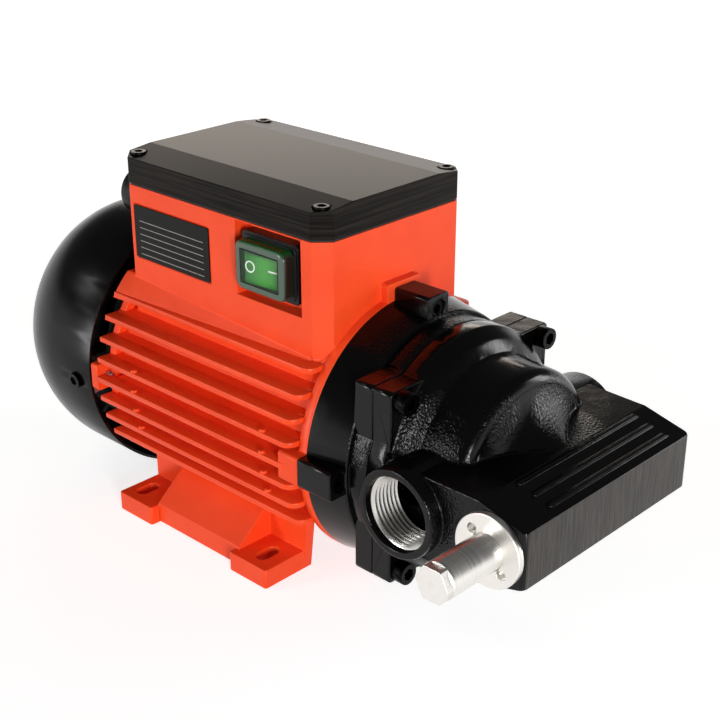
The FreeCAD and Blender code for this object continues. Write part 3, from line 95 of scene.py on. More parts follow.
# %% Helpers for materials
def linear(hex_text):
    """Linear red, green, blue and alpha of a colour written as #RRGGBB."""
    parts = [int(hex_text[i:i + 2], 16) / 255 for i in (1, 3, 5)]
    return [c / 12.92 if c <= 0.04045 else ((c + 0.055) / 1.055) ** 2.4 for c in parts] + [1.0]


def add(tree, kind, sockets=None, **settings):
    """A new shader node with its settings, and a value or a link for each named socket."""
    node = tree.nodes.new("ShaderNode" + kind)
    for name, value in settings.items():
        setattr(node, name, value)
    for name, value in (sockets or {}).items():
        if isinstance(value, bpy.types.NodeSocket):
            tree.links.new(value, node.inputs[name])
        else:
            node.inputs[name].default_value = value
    return node


def surface(name, base, roughness, **sockets):
    """A new material with its Principled shader, named for the finish it stands for."""
    material = bpy.data.materials.new(name)
    material.use_nodes = True
    tree = material.node_tree
    shader = tree.nodes["Principled BSDF"]
    shader.inputs["Base Color"].default_value = linear(base)
    shader.inputs["Roughness"].default_value = roughness
    for key, value in sockets.items():
        shader.inputs[key.replace("_", " ")].default_value = value
    return material, tree, shader


def point(tree, stretch=(1, 1, 1), move=(0, 0, 0)):
    """The place on the object in metres, moved and then stretched."""
    place = add(tree, "TexCoord").outputs["Object"]
    moved = add(tree, "VectorMath", {0: place, 1: move}, operation="SUBTRACT").outputs[0]
    return add(tree, "Mapping", {"Vector": moved, "Scale": stretch}).outputs[0]


def grain(tree, size_mm, detail=2.0, stretch=(1, 1, 1)):
    """Noise whose blobs are about size_mm wide."""
    sockets = {"Vector": point(tree, stretch), "Scale": 1 / (size_mm * MM), "Detail": detail}
    return add(tree, "TexNoise", sockets).outputs["Fac"]


def span(tree, value, low, high, to_low, to_high):
    """Spreads low to high over to_low to to_high, and stops at both ends."""
    sockets = {"Value": value, 1: low, 2: high, 3: to_low, 4: to_high}
    return add(tree, "MapRange", sockets).outputs[0]


def relief(tree, height, depth_mm, under=None):
    """Bump from a 0 to 1 height, depth_mm deep, on top of another bump."""
    sockets = {"Height": height, "Distance": depth_mm * MM}
    if under:
        sockets["Normal"] = under
    return add(tree, "Bump", sockets).outputs[0]


def tint(tree, share, first, second):
    """Colour from first to second as share goes from 0 to 1."""
    sockets = {0: share, 6: first, 7: second}
    return add(tree, "Mix", sockets, data_type="RGBA").outputs[2]


finish = {}
print("helpers ready")

# %% [markdown]
# ## Orange enamel on cast aluminium
# The motor's casting is blasted, then sprayed with a stoving enamel. The skin under the paint is a little
# uneven, and the paint itself has the fine waves called orange peel. Painted images could show that, but
# noises need no unwrapping and fit every face: two give the relief, the roughness follows the skin, and the
# shade changes faintly where the paint lies thicker.

# %% Orange enamel
material, tree, shader = surface("orange_enamel_on_cast_aluminium", "#F04A1E", 0.38, IOR=1.4,
                                 Specular_IOR_Level=0.35)
skin = grain(tree, 3.2, detail=3.0)
peel = grain(tree, 0.9, detail=1.0)
bump = relief(tree, peel, 0.008, relief(tree, skin, 0.02))
tree.links.new(bump, shader.inputs["Normal"])
patches = grain(tree, 26.0, detail=3.0)
shade = tint(tree, span(tree, patches, 0.35, 0.65, 0.0, 1.0), linear("#EC461B"), linear("#F24C20"))
tree.links.new(shade, shader.inputs["Base Color"])
tree.links.new(span(tree, skin, 0.3, 0.7, 0.34, 0.4), shader.inputs["Roughness"])
finish["orange_paint"] = material
print(material.name)

# %% [markdown]
# ## Black enamel on castings
# The pump's castings are black and glossier. The sand mould has left grains a millimetre or two wide, which
# the paint rounds over. A slow noise leaves a little of that grain everywhere, as grinding by hand does, and
# it is strong in round zones, each given by its middle and its reach. The end face of the pump body is
# ground and hardly painted, so it is a dull grey brown with upright strokes. All of it goes by place, so
# each casting needs one material only.

# %% Black enamel
ENAMEL_ROUGHNESS = 0.17
WEAK_GRAIN = 0.12
ZONE_CORE = 0.55
GROUND_FADE = 0.3 * MM
STROKE_STRETCH = (1, 1, 0.03)


def black_enamel(name, depth_mm, zones, ground_from=None):
    """Gloss black over a casting; zones are round places, in mm, where the sand grain is strong."""
    material, tree, shader = surface(name, "#050505", ENAMEL_ROUGHNESS, IOR=1.4, Specular_IOR_Level=0.3)
    waves = grain(tree, 9.0)
    sand = grain(tree, 1.2)
    patches = span(tree, grain(tree, 12.0, detail=1.0), 0.4, 0.6, 0.0, 1.0)
    strong = add(tree, "Math", {0: patches, 1: WEAK_GRAIN}, operation="MULTIPLY").outputs[0]
    for centre, reach in zones:
        place = [v * MM for v in centre]
        away = add(tree, "VectorMath", {0: point(tree, move=place)}, operation="LENGTH").outputs["Value"]
        near = span(tree, away, reach * ZONE_CORE * MM, reach * MM, 1.0, 0.0)
        strong = add(tree, "Math", {0: strong, 1: near}, operation="MAXIMUM").outputs[0]
    rough = add(tree, "Math", {0: sand, 1: strong}, operation="MULTIPLY").outputs[0]
    bump = relief(tree, rough, depth_mm, relief(tree, waves, 0.06))
    tree.links.new(bump, shader.inputs["Normal"])
    if ground_from:
        past = add(tree, "SeparateXYZ", {0: point(tree)}).outputs[0]
        ground = span(tree, past, ground_from, ground_from + GROUND_FADE, 0.0, 1.0)
        strokes = grain(tree, 0.5, detail=3.0, stretch=STROKE_STRETCH)
        dull = span(tree, strokes, 0.3, 0.7, 0.3, 0.45)
        change = add(tree, "Mix", {0: ground, 2: ENAMEL_ROUGHNESS, 3: dull})
        tree.links.new(change.outputs[0], shader.inputs["Roughness"])
        shade = tint(tree, span(tree, strokes, 0.3, 0.7, 0.0, 1.0), linear("#0E0D0C"), linear("#4A4541"))
        tree.links.new(tint(tree, ground, linear("#050505"), shade), shader.inputs["Base Color"])
    return material


SHIELD_GRAIN = [((60, -26, 122), 22), ((60, 8, 130), 20), ((60, -48, 84), 14)]
PUMP_GRAIN = [((85, -40, 62), 30), ((84, -40, 98), 22), ((110, -50, 76), 24), ((104, -20, 104), 14),
              ((114, 14, 96), 22)]
GROUND_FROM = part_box("pump_body")[1].x - 0.5 * MM
finish["black_paint"] = black_enamel("black_enamel_on_cast_aluminium", 0.35, SHIELD_GRAIN)
finish["black_cast"] = black_enamel("black_enamel_on_sand_cast_iron", 0.5, PUMP_GRAIN, GROUND_FROM)
print(finish["black_paint"].name, finish["black_cast"].name)

# %% [markdown]
# ## Satin powder coat on the fan cowl
# The cowl is pressed from sheet, and powder coated. Powder melts into a satin skin with waves about a
# millimetre wide and only microns high, and one fine noise makes them. A slow noise changes the gloss a
# little, so that the highlight isn't perfectly even.

# %% Powder coat
material, tree, shader = surface("satin_powder_coat_on_steel", "#050505", 0.22, IOR=1.4,
                                 Specular_IOR_Level=0.25)
tree.links.new(relief(tree, grain(tree, 1.1, detail=1.0), 0.008), shader.inputs["Normal"])
tree.links.new(span(tree, grain(tree, 14.0), 0.3, 0.7, 0.2, 0.27), shader.inputs["Roughness"])
finish["cowl_steel"] = material
print(material.name)

# %% [markdown]
# ## The lid
# The lid's sides show fine lines along their length, like a drawn or brushed profile, and its top is an
# even satin black with a slightly warm sheen. Lines could be cut as geometry, but they are far too many. A
# noise drawn out fifty times along X and Y gives them, and the surface's own normal tells the sides from the
# top, so that one material does both.

# %% Lid
LINE_STRETCH = (0.02, 0.02, 1)
material, tree, shader = surface("satin_black_lid_with_drawn_sides", "#060606", 0.3, IOR=1.4,
                                 Specular_IOR_Level=0.1, Specular_Tint=linear("#FFF2E7"))
# The real lines are finer than half a millimetre, and are drawn twice as wide so that they show.
lines = span(tree, grain(tree, 1.0, detail=3.0, stretch=LINE_STRETCH), 0.35, 0.65, 0.0, 1.0)
upward = add(tree, "SeparateXYZ", {0: add(tree, "NewGeometry").outputs["Normal"]}).outputs[2]
side = span(tree, add(tree, "Math", {0: upward}, operation="ABSOLUTE").outputs[0], 0.3, 0.8, 1.0, 0.0)
streaks = add(tree, "Math", {0: lines, 1: side}, operation="MULTIPLY").outputs[0]
fine = grain(tree, 0.5, detail=1.0)
tree.links.new(relief(tree, streaks, 0.05, relief(tree, fine, 0.008)), shader.inputs["Normal"])
shade = tint(tree, streaks, linear("#030303"), linear("#201C19"))
tree.links.new(shade, shader.inputs["Base Color"])
finish["lid_plastic"] = material
print(material.name)

# %% [markdown]
# ## Rating plate
# A thin black plate with six pale printed rules, evenly spaced. Six thin boxes would do, but print has no
# thickness, so it is made in the material. The rules repeat down the plate, so its height is cut into equal
# steps, and a thin share of each step is pale. Three limits end them: at both margins, above the first rule
# and below the last.

# %% Rating plate
plate_low, plate_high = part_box("rating_plate")
plate_centre = (plate_low + plate_high) / 2
RULE_STEP = 3.3 * MM
RULE_WIDTH = 0.16 * MM
RULE_TOP = 5.65 * MM
RULE_COUNT = 6
RULE_HALF_LENGTH = 23.0 * MM
material, tree, shader = surface("printed_black_rating_plate", "#161616", 0.4, IOR=1.4,
                                 Specular_IOR_Level=0.15)
parts = add(tree, "SeparateXYZ", {0: point(tree, move=plate_centre)})
across = add(tree, "Math", {0: parts.outputs[0]}, operation="ABSOLUTE").outputs[0]
down = add(tree, "Math", {0: RULE_TOP + RULE_WIDTH, 1: parts.outputs[2]}, operation="SUBTRACT").outputs[0]
step = add(tree, "Math", {0: down, 1: RULE_STEP}, operation="DIVIDE").outputs[0]
share = add(tree, "Math", {0: step}, operation="FRACT").outputs[0]
rule = span(tree, share, 2 * RULE_WIDTH / RULE_STEP, 2.2 * RULE_WIDTH / RULE_STEP, 1.0, 0.0)
limits = [
    span(tree, across, RULE_HALF_LENGTH, RULE_HALF_LENGTH + RULE_WIDTH, 1.0, 0.0),
    span(tree, step, -0.01, 0.0, 0.0, 1.0),
    span(tree, step, RULE_COUNT - 0.6, RULE_COUNT - 0.5, 1.0, 0.0),
]
for limit in limits:
    rule = add(tree, "Math", {0: rule, 1: limit}, operation="MULTIPLY").outputs[0]
tree.links.new(tint(tree, rule, linear("#100F0E"), linear("#9C9994")), shader.inputs["Base Color"])
tree.links.new(relief(tree, grain(tree, 0.6, detail=1.0), 0.004), shader.inputs["Normal"])
finish["plate_black"] = material
print(material.name)

# %% [markdown]
# ## Mouldings
# The switch frame, the gland and the terminal block are black nylon from a spark-eroded mould, which leaves
# an even, very fine grain. The seals, the fan and the vanes are moulded too. They differ in colour, gloss
# and grain only, so one function makes them all: it is given the colour, the roughness, and the width and
# depth of the grain in millimetres, and lets the roughness vary a little with that grain.

# %% Plain mouldings
GLOSS_SPREAD = 0.15


def moulding(name, base, roughness, grain_mm, depth_mm, **sockets):
    material, tree, shader = surface(name, base, roughness, IOR=1.5, **sockets)
    texture = grain(tree, grain_mm)
    tree.links.new(relief(tree, texture, depth_mm), shader.inputs["Normal"])
    varied = span(tree, texture, 0.3, 0.7, roughness * (1 - GLOSS_SPREAD), roughness * (1 + GLOSS_SPREAD))
    tree.links.new(varied, shader.inputs["Roughness"])
    return material


finish["black_plastic"] = moulding("black_nylon_moulding", "#0A0A0A", 0.34, 0.5, 0.02,
                                   Specular_IOR_Level=0.2)
finish["capacitor_white"] = moulding("white_capacitor_can", "#E4E3DE", 0.4, 1.5, 0.01)
finish["seal_rubber"] = moulding("black_nitrile_rubber", "#131313", 0.6, 0.8, 0.03)
finish["fan_plastic"] = moulding("black_fan_moulding", "#141415", 0.5, 0.7, 0.02)
finish["vane_plastic"] = moulding("self_lubricating_vane_resin", "#74695A", 0.5, 0.6, 0.01)
finish["boot_window"] = moulding("clear_boot_window", "#8FB592", 0.18, 1.5, 0.01, Alpha=0.12)
finish["mark_white"] = moulding("white_switch_mark", "#F0F6EE", 0.4, 0.4, 0.004)
print(len(finish), "finishes so far")

# %% [markdown]
# ## Soft boot
# The boot's collar is thick, soft, milky plastic. Its colour carries painted light: it is grey green in front,
# takes a deeper green above, a painted glow where the rocker shines into it, and goes dark at its two ends,
# which is painted shade. Light that truly passes through it would be slow and noisy here, so the surface's
# normal picks one of three colours. Only the window in the middle is see-through, with a finish of its own.

# %% Soft boot
material, tree, shader = surface("clear_soft_boot_over_green", "#4E5F4F", 0.2, IOR=1.45)
turned = add(tree, "SeparateXYZ", {0: add(tree, "NewGeometry").outputs["Normal"]})
sideways = add(tree, "Math", {0: turned.outputs[0]}, operation="ABSOLUTE").outputs[0]
# Faces that look up take a deeper green, a painted glow of the rocker, and the two ends a dark green, which is
# painted shade.
above = span(tree, turned.outputs[2], 0.15, 0.8, 0.0, 1.0)
painted_rocker_glow = tint(tree, above, linear("#47594A"), linear("#0F4A1B"))
painted_glow_and_end_shade = tint(tree, span(tree, sideways, 0.6, 0.95, 0.0, 1.0), painted_rocker_glow, linear("#141B15"))
tree.links.new(painted_glow_and_end_shade, shader.inputs["Base Color"])
tree.links.new(relief(tree, grain(tree, 1.4, detail=1.0), 0.01), shader.inputs["Normal"])
finish["boot_clear"] = material
print(material.name)

# %% [markdown]
# ## Green rocker
# The rocker is clear green plastic with fine upright ribs. Its colour carries painted light: it is palest in
# the middle and deeper towards its ends, painted highlight and shade, and dark along its top edge, a painted
# shadow. Such plastic spreads light inside itself, and a very small glow of its own colour stands for that.
# The ribs are too fine to model, so a sine wave gives them as bump.

# %% Green rocker
rocker_low, rocker_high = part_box("switch_rocker")
rocker_centre = (rocker_low + rocker_high) / 2
PALE_WITHIN = 1.0 * MM
DEEP_BEYOND = 10.5 * MM
SHADOW_FROM = 4.6 * MM
SHADOW_TO = 6.2 * MM
RIB_PITCH = 0.9 * MM
material, tree, shader = surface("clear_green_rocker", "#3F9A34", 0.25, IOR=1.49)
parts = add(tree, "SeparateXYZ", {0: point(tree, move=rocker_centre)})
along = parts.outputs[0]
middle = add(tree, "Math", {0: along}, operation="ABSOLUTE").outputs[0]
# Paler in the middle and deeper towards the ends is painted highlight and painted shade.
painted_shade_towards_ends = span(tree, middle, PALE_WITHIN, DEEP_BEYOND, 0.0, 1.0)
green = tint(tree, painted_shade_towards_ends, linear("#3A9A2C"), linear("#186A1B"))
# Darker along the top edge is a painted shadow.
painted_shadow_band = span(tree, parts.outputs[2], SHADOW_FROM, SHADOW_TO, 0.0, 1.0)
green = tint(tree, painted_shadow_band, green, linear("#0A3A12"))
tree.links.new(green, shader.inputs["Base Color"])
# The faint glow in the same colours is painted light, spread inside the plastic.
tree.links.new(green, shader.inputs["Emission Color"])
shader.inputs["Emission Strength"].default_value = 0.06
ribs = add(tree, "Math", {0: along, 1: math.tau / RIB_PITCH}, operation="MULTIPLY").outputs[0]
ribs = add(tree, "Math", {0: ribs}, operation="SINE").outputs[0]
tree.links.new(relief(tree, ribs, 0.1), shader.inputs["Normal"])
finish["rocker_green"] = material
print(material.name)

# %% [markdown]
# ## Metals
# Turned steel carries circular tool marks that spread its highlights sideways. The marks of a turned pin
# run round its axis, so the relief is a noise that changes quickly along the axis and from the centre out,
# and not at all around it. Cut threads have such marks too. The other metals are plain: zinc plate is
# softer and slightly blotchy, black oxide is dark, and what is inside is ground, stacked or as cast.

# %% Turned and plain metals
METAL_SPREAD = 0.2


def metal(name, base, roughness, grain_mm, depth_mm):
    material, tree, shader = surface(name, base, roughness, Metallic=1.0)
    texture = grain(tree, grain_mm, detail=3.0)
    tree.links.new(relief(tree, texture, depth_mm), shader.inputs["Normal"])
    varied = span(tree, texture, 0.3, 0.7, roughness * (1 - METAL_SPREAD), roughness * (1 + METAL_SPREAD))
    tree.links.new(varied, shader.inputs["Roughness"])
    return material


def turned_metal(name, base, roughness, centre, pitch_mm):
    """Tool marks round the Y axis through centre: cylinders get rings, end faces get circles."""
    material, tree, shader = surface(name, base, roughness, Metallic=1.0)
    parts = add(tree, "SeparateXYZ", {0: point(tree, move=centre)})
    flat = add(tree, "CombineXYZ", {0: parts.outputs[0], 1: parts.outputs[2]}).outputs[0]
    radius = add(tree, "VectorMath", {0: flat}, operation="LENGTH").outputs["Value"]
    way = add(tree, "CombineXYZ", {0: radius, 1: parts.outputs[1]}).outputs[0]
    sockets = {"Vector": way, "Scale": 1 / (pitch_mm * MM), "Detail": 3.0}
    marks = add(tree, "TexNoise", sockets).outputs["Fac"]
    tree.links.new(relief(tree, marks, 0.008), shader.inputs["Normal"])
    rough = span(tree, marks, 0.3, 0.7, roughness * 0.75, roughness * 1.3)
    tree.links.new(rough, shader.inputs["Roughness"])
    shade = tint(tree, marks, linear("#DCD9D4"), linear(base))
    tree.links.new(shade, shader.inputs["Base Color"])
    return material


ring_low, ring_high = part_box("bypass_ring")
bypass_centre = (ring_low + ring_high) / 2
port = {m["name"]: Vector(m["pos_m"]) for m in frame["record"]["mounts"]}
finish["bright_steel"] = turned_metal("turned_bright_steel", "#F0EDE8", 0.34, bypass_centre, 0.35)
finish["thread_steel"] = turned_metal("cut_thread_in_iron", "#BDBBB6", 0.26, port["inlet_port"], 0.5)
finish["zinc_steel"] = metal("zinc_plated_steel", "#B9BBBC", 0.32, 0.8, 0.01)
finish["black_steel"] = metal("black_oxide_steel", "#0E0E0E", 0.34, 0.7, 0.01)
finish["bearing_steel"] = metal("ground_bearing_steel", "#C4C6C8", 0.16, 1.2, 0.002)
finish["shaft_steel"] = metal("ground_shaft_steel", "#B2B3B4", 0.24, 0.8, 0.004)
finish["core_steel"] = metal("stacked_sheet_steel", "#7F8082", 0.4, 0.5, 0.02)
finish["copper_wire"] = metal("varnished_copper_wire", "#B4632F", 0.3, 0.9, 0.06)
finish["cast_aluminium"] = metal("cast_aluminium_skin", "#A9AAAB", 0.45, 1.4, 0.06)
finish["contact_brass"] = metal("brass_contacts", "#B9974E", 0.3, 0.8, 0.006)
print(len(finish), "finishes in all")

# %% [markdown]
# ## Dressing the solid model
# The record says which finish each node has. Here the node's slots get the material made for it. The record
# has zinc on the screws in the lid and at the front of the motor, but the real ones look black, so they take
# black oxide.

# %% Dress the solid model's nodes
BLACKENED = ["lid_screws", "front_tie_screws"]
for row in frame["record"]["subparts"]:
    node = frame["nodes"][row["node"]]
    look = "black_steel" if row["node"] in BLACKENED else row["material_slot"]
    for slot in node.material_slots:
        slot.material = finish[look]

# %% [markdown]
# ## Soft edges
# No casting has knife edges: paint and blasting round them, and the light catches there. The solid model
# stays as it is, and modifiers do the rounding. Weld joins its loose triangles, Decimate turns flat areas
# back into whole faces, and Bevel rounds what is left as a real corner. A small node tree between them
# weighs each edge: smooth ones get nothing, and so do those above a height. That is for the housing, where
# the strip of metal over the switch pocket is thinner than the rounding.

# %% Round the edges
CORNER_ANGLE = math.radians(28)
ABOVE_ALL = 1.0
SHARP_FADE = 0.1 * MM


def edge_weights(name, sharp_above):
    """Node tree that stores which edges are rounded: real corners, up to a height in metres."""
    tree = bpy.data.node_groups.new(name, "GeometryNodeTree")
    tree.interface.new_socket("Mesh", in_out="INPUT", socket_type="NodeSocketGeometry")
    tree.interface.new_socket("Mesh", in_out="OUTPUT", socket_type="NodeSocketGeometry")
    mesh_in = tree.nodes.new("NodeGroupInput").outputs[0]
    angle = tree.nodes.new("GeometryNodeInputMeshEdgeAngle").outputs[0]
    place = tree.nodes.new("GeometryNodeInputPosition").outputs[0]
    height = add(tree, "SeparateXYZ", {0: place}).outputs[2]
    corner = add(tree, "Math", {0: angle, 1: CORNER_ANGLE}, operation="GREATER_THAN").outputs[0]
    below = span(tree, height, sharp_above, sharp_above + SHARP_FADE, 1.0, 0.0)
    weight = add(tree, "Math", {0: corner, 1: below}, operation="MULTIPLY").outputs[0]
    store = tree.nodes.new("GeometryNodeStoreNamedAttribute")
    store.domain = "EDGE"
    store.inputs["Name"].default_value = "bevel_weight_edge"
    tree.links.new(mesh_in, store.inputs["Geometry"])
    tree.links.new(weight, store.inputs["Value"])
    mesh_out = tree.nodes.new("NodeGroupOutput")
    tree.links.new(store.outputs["Geometry"], mesh_out.inputs[0])
    return tree


def soften(node, radius_mm, sharp_above=ABOVE_ALL):
    """Rounds the corners of a node of the solid model."""
    piece = frame["nodes"][node]
    weld = piece.modifiers.new("join triangles", "WELD")
    weld.merge_threshold = MM / 1000
    flats = piece.modifiers.new("whole faces", "DECIMATE")
    flats.decimate_type = "DISSOLVE"
    flats.angle_limit = math.radians(0.5)
    weights = piece.modifiers.new("edge weights", "NODES")
    weights.node_group = edge_weights("weights_of_" + node, sharp_above)
    edge = piece.modifiers.new("round edges", "BEVEL")
    edge.limit_method = "WEIGHT"
    edge.width = radius_mm * MM
    edge.segments = 2
    edge.use_clamp_overlap = False
    edge.harden_normals = True


EDGE_MM = {
    "front_end_shield": 0.7, "pump_body": 0.8, "box_lid": 0.4,
    "switch_frame": 0.25, "rating_plate": 0.12, "gland_body": 0.3, "gland_nut": 0.3,
    "fan_cowl": 0.25, "pump_screws": 0.25, "cowl_screws": 0.2, "lid_screws": 0.2,
    "front_tie_screws": 0.2, "rear_tie_screws": 0.2, "bypass_ring": 0.2, "bypass_cap": 0.2,
}
for node, radius_mm in EDGE_MM.items():
    soften(node, radius_mm)
POCKET_STRIP_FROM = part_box("motor_housing")[1].z - 1.0 * MM
soften("motor_housing", 0.5, POCKET_STRIP_FROM)
print("softened", len(EDGE_MM) + 1, "nodes")

# %% [markdown]
# ## Making pieces
# Each new piece is a small mesh shaped by bmesh operators, then given its material, the one made for a slot
# of the record, and its body to ride on. What is the same for all of them is done in one function: merging
# double points, turning the faces outwards, and shading smoothly up to an angle.


# %% Helpers for pieces
def finish_piece(name, mesh, material, body, smooth=35):
    """Turns a finished mesh to a smooth shaded object that rides on a body of the pump."""
    bmesh.ops.remove_doubles(mesh, verts=mesh.verts[:], dist=MM / 1000)
    bmesh.ops.recalc_face_normals(mesh, faces=mesh.faces[:])
    data = bpy.data.meshes.new(name)
    for face in mesh.faces:
        face.smooth = True
    for edge in mesh.edges:
        edge.smooth = edge.calc_face_angle(0) < math.radians(smooth)
    mesh.to_mesh(data)
    mesh.free()
    data.materials.append(finish[material])
    piece = bpy.data.objects.new(name, data)
    bpy.context.scene.collection.objects.link(piece)
    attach(piece, body)
    print(name, len(data.polygons), "faces")
    return piece


# %% [markdown]
# ## Fin tips
# The cooling fins reach the same radius along the whole motor, and each one is rounded down to the ring at
# its front end. The solid fins are a little short at that end, so a thin rim is laid over each tip. Its
# outline is four corners, one of them bevelled round, then it is extruded to the fin's thickness. Small
# round marks, left by the ejector pins of the die, stand on four of the fins on each side. One mesh holds
# all that is on a side, because it is one casting.

# %% Fin tips
AXIS_HEIGHT = port["inlet_port"].z
FIN_PITCH = 10.4 * MM
FIN_LEVELS = range(-3, 5)
FIN_REACH = 69.6 * MM
FIN_INNER = 62.5 * MM
FIN_REAR = -107.0 * MM
FIN_FRONT = 29.6 * MM
FIN_ROUND = 5.2 * MM
FIN_THICKNESS = 2.66 * MM
FIN_EDGE = 0.4 * MM
MARK_LEVELS = range(-2, 2)
MARK_PLACES = (-80 * MM, 11 * MM)
MARK_RADIUS = 1.8 * MM
MARK_TAPER = 0.85
MARK_RISE = 1.1 * MM
MARK_LENGTHENED = 1.2
MARK_EDGE = 0.3 * MM


def rounded_edges(mesh, radius):
    """Bevels every edge that turns by more than 30 degrees."""
    sharp = [e for e in mesh.edges if e.calc_face_angle(0) > math.radians(30)]
    bmesh.ops.bevel(mesh, geom=sharp, offset=radius, affect="EDGES", segments=2, profile=0.5,
                    material=-1)


def joined(parts):
    """One mesh from several."""
    total = bmesh.new()
    for part in parts:
        data = bpy.data.meshes.new("part")
        part.to_mesh(data)
        part.free()
        total.from_mesh(data)
        bpy.data.meshes.remove(data)
    return total


def fin_tip(level, side):
    """The rim of one fin: level counts the fins from the motor's axis, side is -1 or 1 along Y."""
    mesh = bmesh.new()
    height = level * FIN_PITCH
    inner, outer = [side * math.sqrt(r**2 - height**2) for r in (FIN_INNER, FIN_REACH)]
    corners = [(FIN_REAR, inner), (FIN_REAR, outer), (FIN_FRONT, outer), (FIN_FRONT, inner)]
    verts = [mesh.verts.new((x, y, AXIS_HEIGHT + height - FIN_THICKNESS / 2)) for x, y in corners]
    mesh.faces.new(verts)
    bmesh.ops.bevel(mesh, geom=[verts[2]], offset=FIN_ROUND, affect="VERTICES", segments=6,
                    profile=0.5, material=-1)
    grown = bmesh.ops.extrude_face_region(mesh, geom=mesh.faces[:])
    raised = [g for g in grown["geom"] if isinstance(g, bmesh.types.BMVert)]
    bmesh.ops.translate(mesh, verts=raised, vec=(0, 0, FIN_THICKNESS))
    rounded_edges(mesh, FIN_EDGE)
    return mesh


def ejector_mark(level, side, x):
    """A low round boss on a fin, sunk into it a little so that no gap shows."""
    mesh = bmesh.new()
    height = level * FIN_PITCH
    y = side * (math.sqrt(FIN_REACH**2 - height**2) - MARK_RADIUS)
    z = AXIS_HEIGHT + height + (FIN_THICKNESS + MARK_RISE) / 2
    bmesh.ops.create_cone(mesh, cap_ends=True, segments=20, radius1=MARK_RADIUS,
                          radius2=MARK_RADIUS * MARK_TAPER, depth=MARK_RISE * MARK_LENGTHENED,
                          matrix=Matrix.Translation((x, y, z)))
    rounded_edges(mesh, MARK_EDGE)
    return mesh


for name, side in (("fin_tips_near", -1), ("fin_tips_far", 1)):
    tips = [fin_tip(level, side) for level in FIN_LEVELS]
    marks = [ejector_mark(level, side, x) for level in MARK_LEVELS for x in MARK_PLACES]
    finish_piece(name, joined(tips + marks), "orange_paint", "pump")

# %% [markdown]
# ## Turned rings
# Two forms go round the motor's axis. A low bead joins the fins at the back of the barrel, on each side.
# A cone closes the step between the orange ring and the pump's flange, as on the real front shield. Each
# is a closed section, spun about the axis, which gives a true round with few faces. The sections are given
# in millimetres, along the axis and out from it.

# %% Bead and cone
BEAD = [(-107.5, 57.0), (-107.5, 61.4), (-107.0, 61.9), (-103.6, 61.9), (-103.1, 61.4), (-103.1, 57.0)]
BEAD_FROM = math.radians(-30)
BEAD_TURN = math.radians(73)
BEAD_STEPS = 36
CONE = [(34.6, 54.5), (34.6, 63.1), (53.4, 59.8), (54.3, 59.5), (54.9, 58.9), (54.9, 54.5)]
CONE_STEPS = 128


def spun(section, start, turn, steps):
    """Solid of a section, given in mm along the axis and out from it, turned about the motor's axis."""
    mesh = bmesh.new()
    centre = Vector((0, 0, AXIS_HEIGHT))
    aim = Vector((0, math.cos(start), math.sin(start)))
    corners = [mesh.verts.new(centre + Vector((x, 0, 0)) * MM + aim * r * MM) for x, r in section]
    full = turn > math.tau - 0.001
    if full:
        loop = [mesh.edges.new((a, b)) for a, b in zip(corners, corners[1:] + corners[:1])]
        geom = loop + corners
    else:
        face = mesh.faces.new(corners)
        geom = [face] + list(face.edges) + corners
    bmesh.ops.spin(mesh, geom=geom, cent=centre, axis=(1, 0, 0), angle=turn, steps=steps,
                   use_merge=full)
    return mesh


bead_far = spun(BEAD, BEAD_FROM, BEAD_TURN, BEAD_STEPS)
bead_near = spun(BEAD, math.pi - BEAD_FROM - BEAD_TURN, BEAD_TURN, BEAD_STEPS)
finish_piece("rear_bead", joined([bead_far, bead_near]), "orange_paint", "pump")
cone = spun(CONE, 0, math.tau, CONE_STEPS)
finish_piece("shield_cone", cone, "black_paint", "pump", 25)

# %% [markdown]
# ## Pipe threads in the ports
# A G1 thread has 11 turns to the inch, so its pitch is 2.309 mm, and its ridges stand 1.48 mm high on the
# bore's wall. A bump could only fake them, and their shadows are what the eye looks for. One ridge section
# spun round the port's axis, and carried along it by one pitch per turn, makes the whole helix. Both ends
# are closed by the section itself.

# %% Cut the threads
PITCH = 25.4 / 11 * MM
RIDGE = 1.48 * MM
THREAD_TURNS = 7
THREAD_STEPS = 48
PORT_BORE = 16.62 * MM
PORT_REACH = 66.1 * MM
THREAD_START = 2.0 * MM


def port_thread(name, side, centre):
    """One helix; each corner of its section is a radius and a share of the pitch."""
    mesh = bmesh.new()
    y = side * (PORT_REACH - THREAD_START)
    inward = -side * PITCH
    profile = [
        (PORT_BORE, 0.0), (PORT_BORE - 0.25 * RIDGE, 0.06), (PORT_BORE - 0.85 * RIDGE, 0.40),
        (PORT_BORE - RIDGE, 0.47), (PORT_BORE - RIDGE, 0.53), (PORT_BORE - 0.85 * RIDGE, 0.60),
        (PORT_BORE - 0.25 * RIDGE, 0.94), (PORT_BORE, 0.999),
    ]
    corners = [mesh.verts.new((centre.x, y + share * inward, centre.z + r)) for r, share in profile]
    section = mesh.faces.new(corners)
    steps = THREAD_TURNS * THREAD_STEPS
    bmesh.ops.spin(
        mesh, geom=[section] + list(section.edges) + corners, cent=centre, axis=(0, 1, 0),
        dvec=(0, inward / THREAD_STEPS, 0), angle=math.tau * THREAD_TURNS, steps=steps,
        use_merge=False,
    )
    finish_piece(name, mesh, "thread_steel", "pump", 25)


port_thread("inlet_thread", -1, Vector((port["inlet_port"].x, 0, AXIS_HEIGHT)))
port_thread("outlet_thread", 1, Vector((port["outlet_port"].x, 0, AXIS_HEIGHT)))

# %% [markdown]
# ## The boot over the switch
# A soft boot seals the rocker: a rounded collar a few millimetres deep, with a thin flat window in the
# middle. The collar starts as a flat rectangle. Its corners are bevelled round, it is extruded forward, its
# front rim is bevelled, and the front face is inset to mark the window. Three more insets sink a fine dark
# groove round the window. It replaces the plainer boot of the solid model.

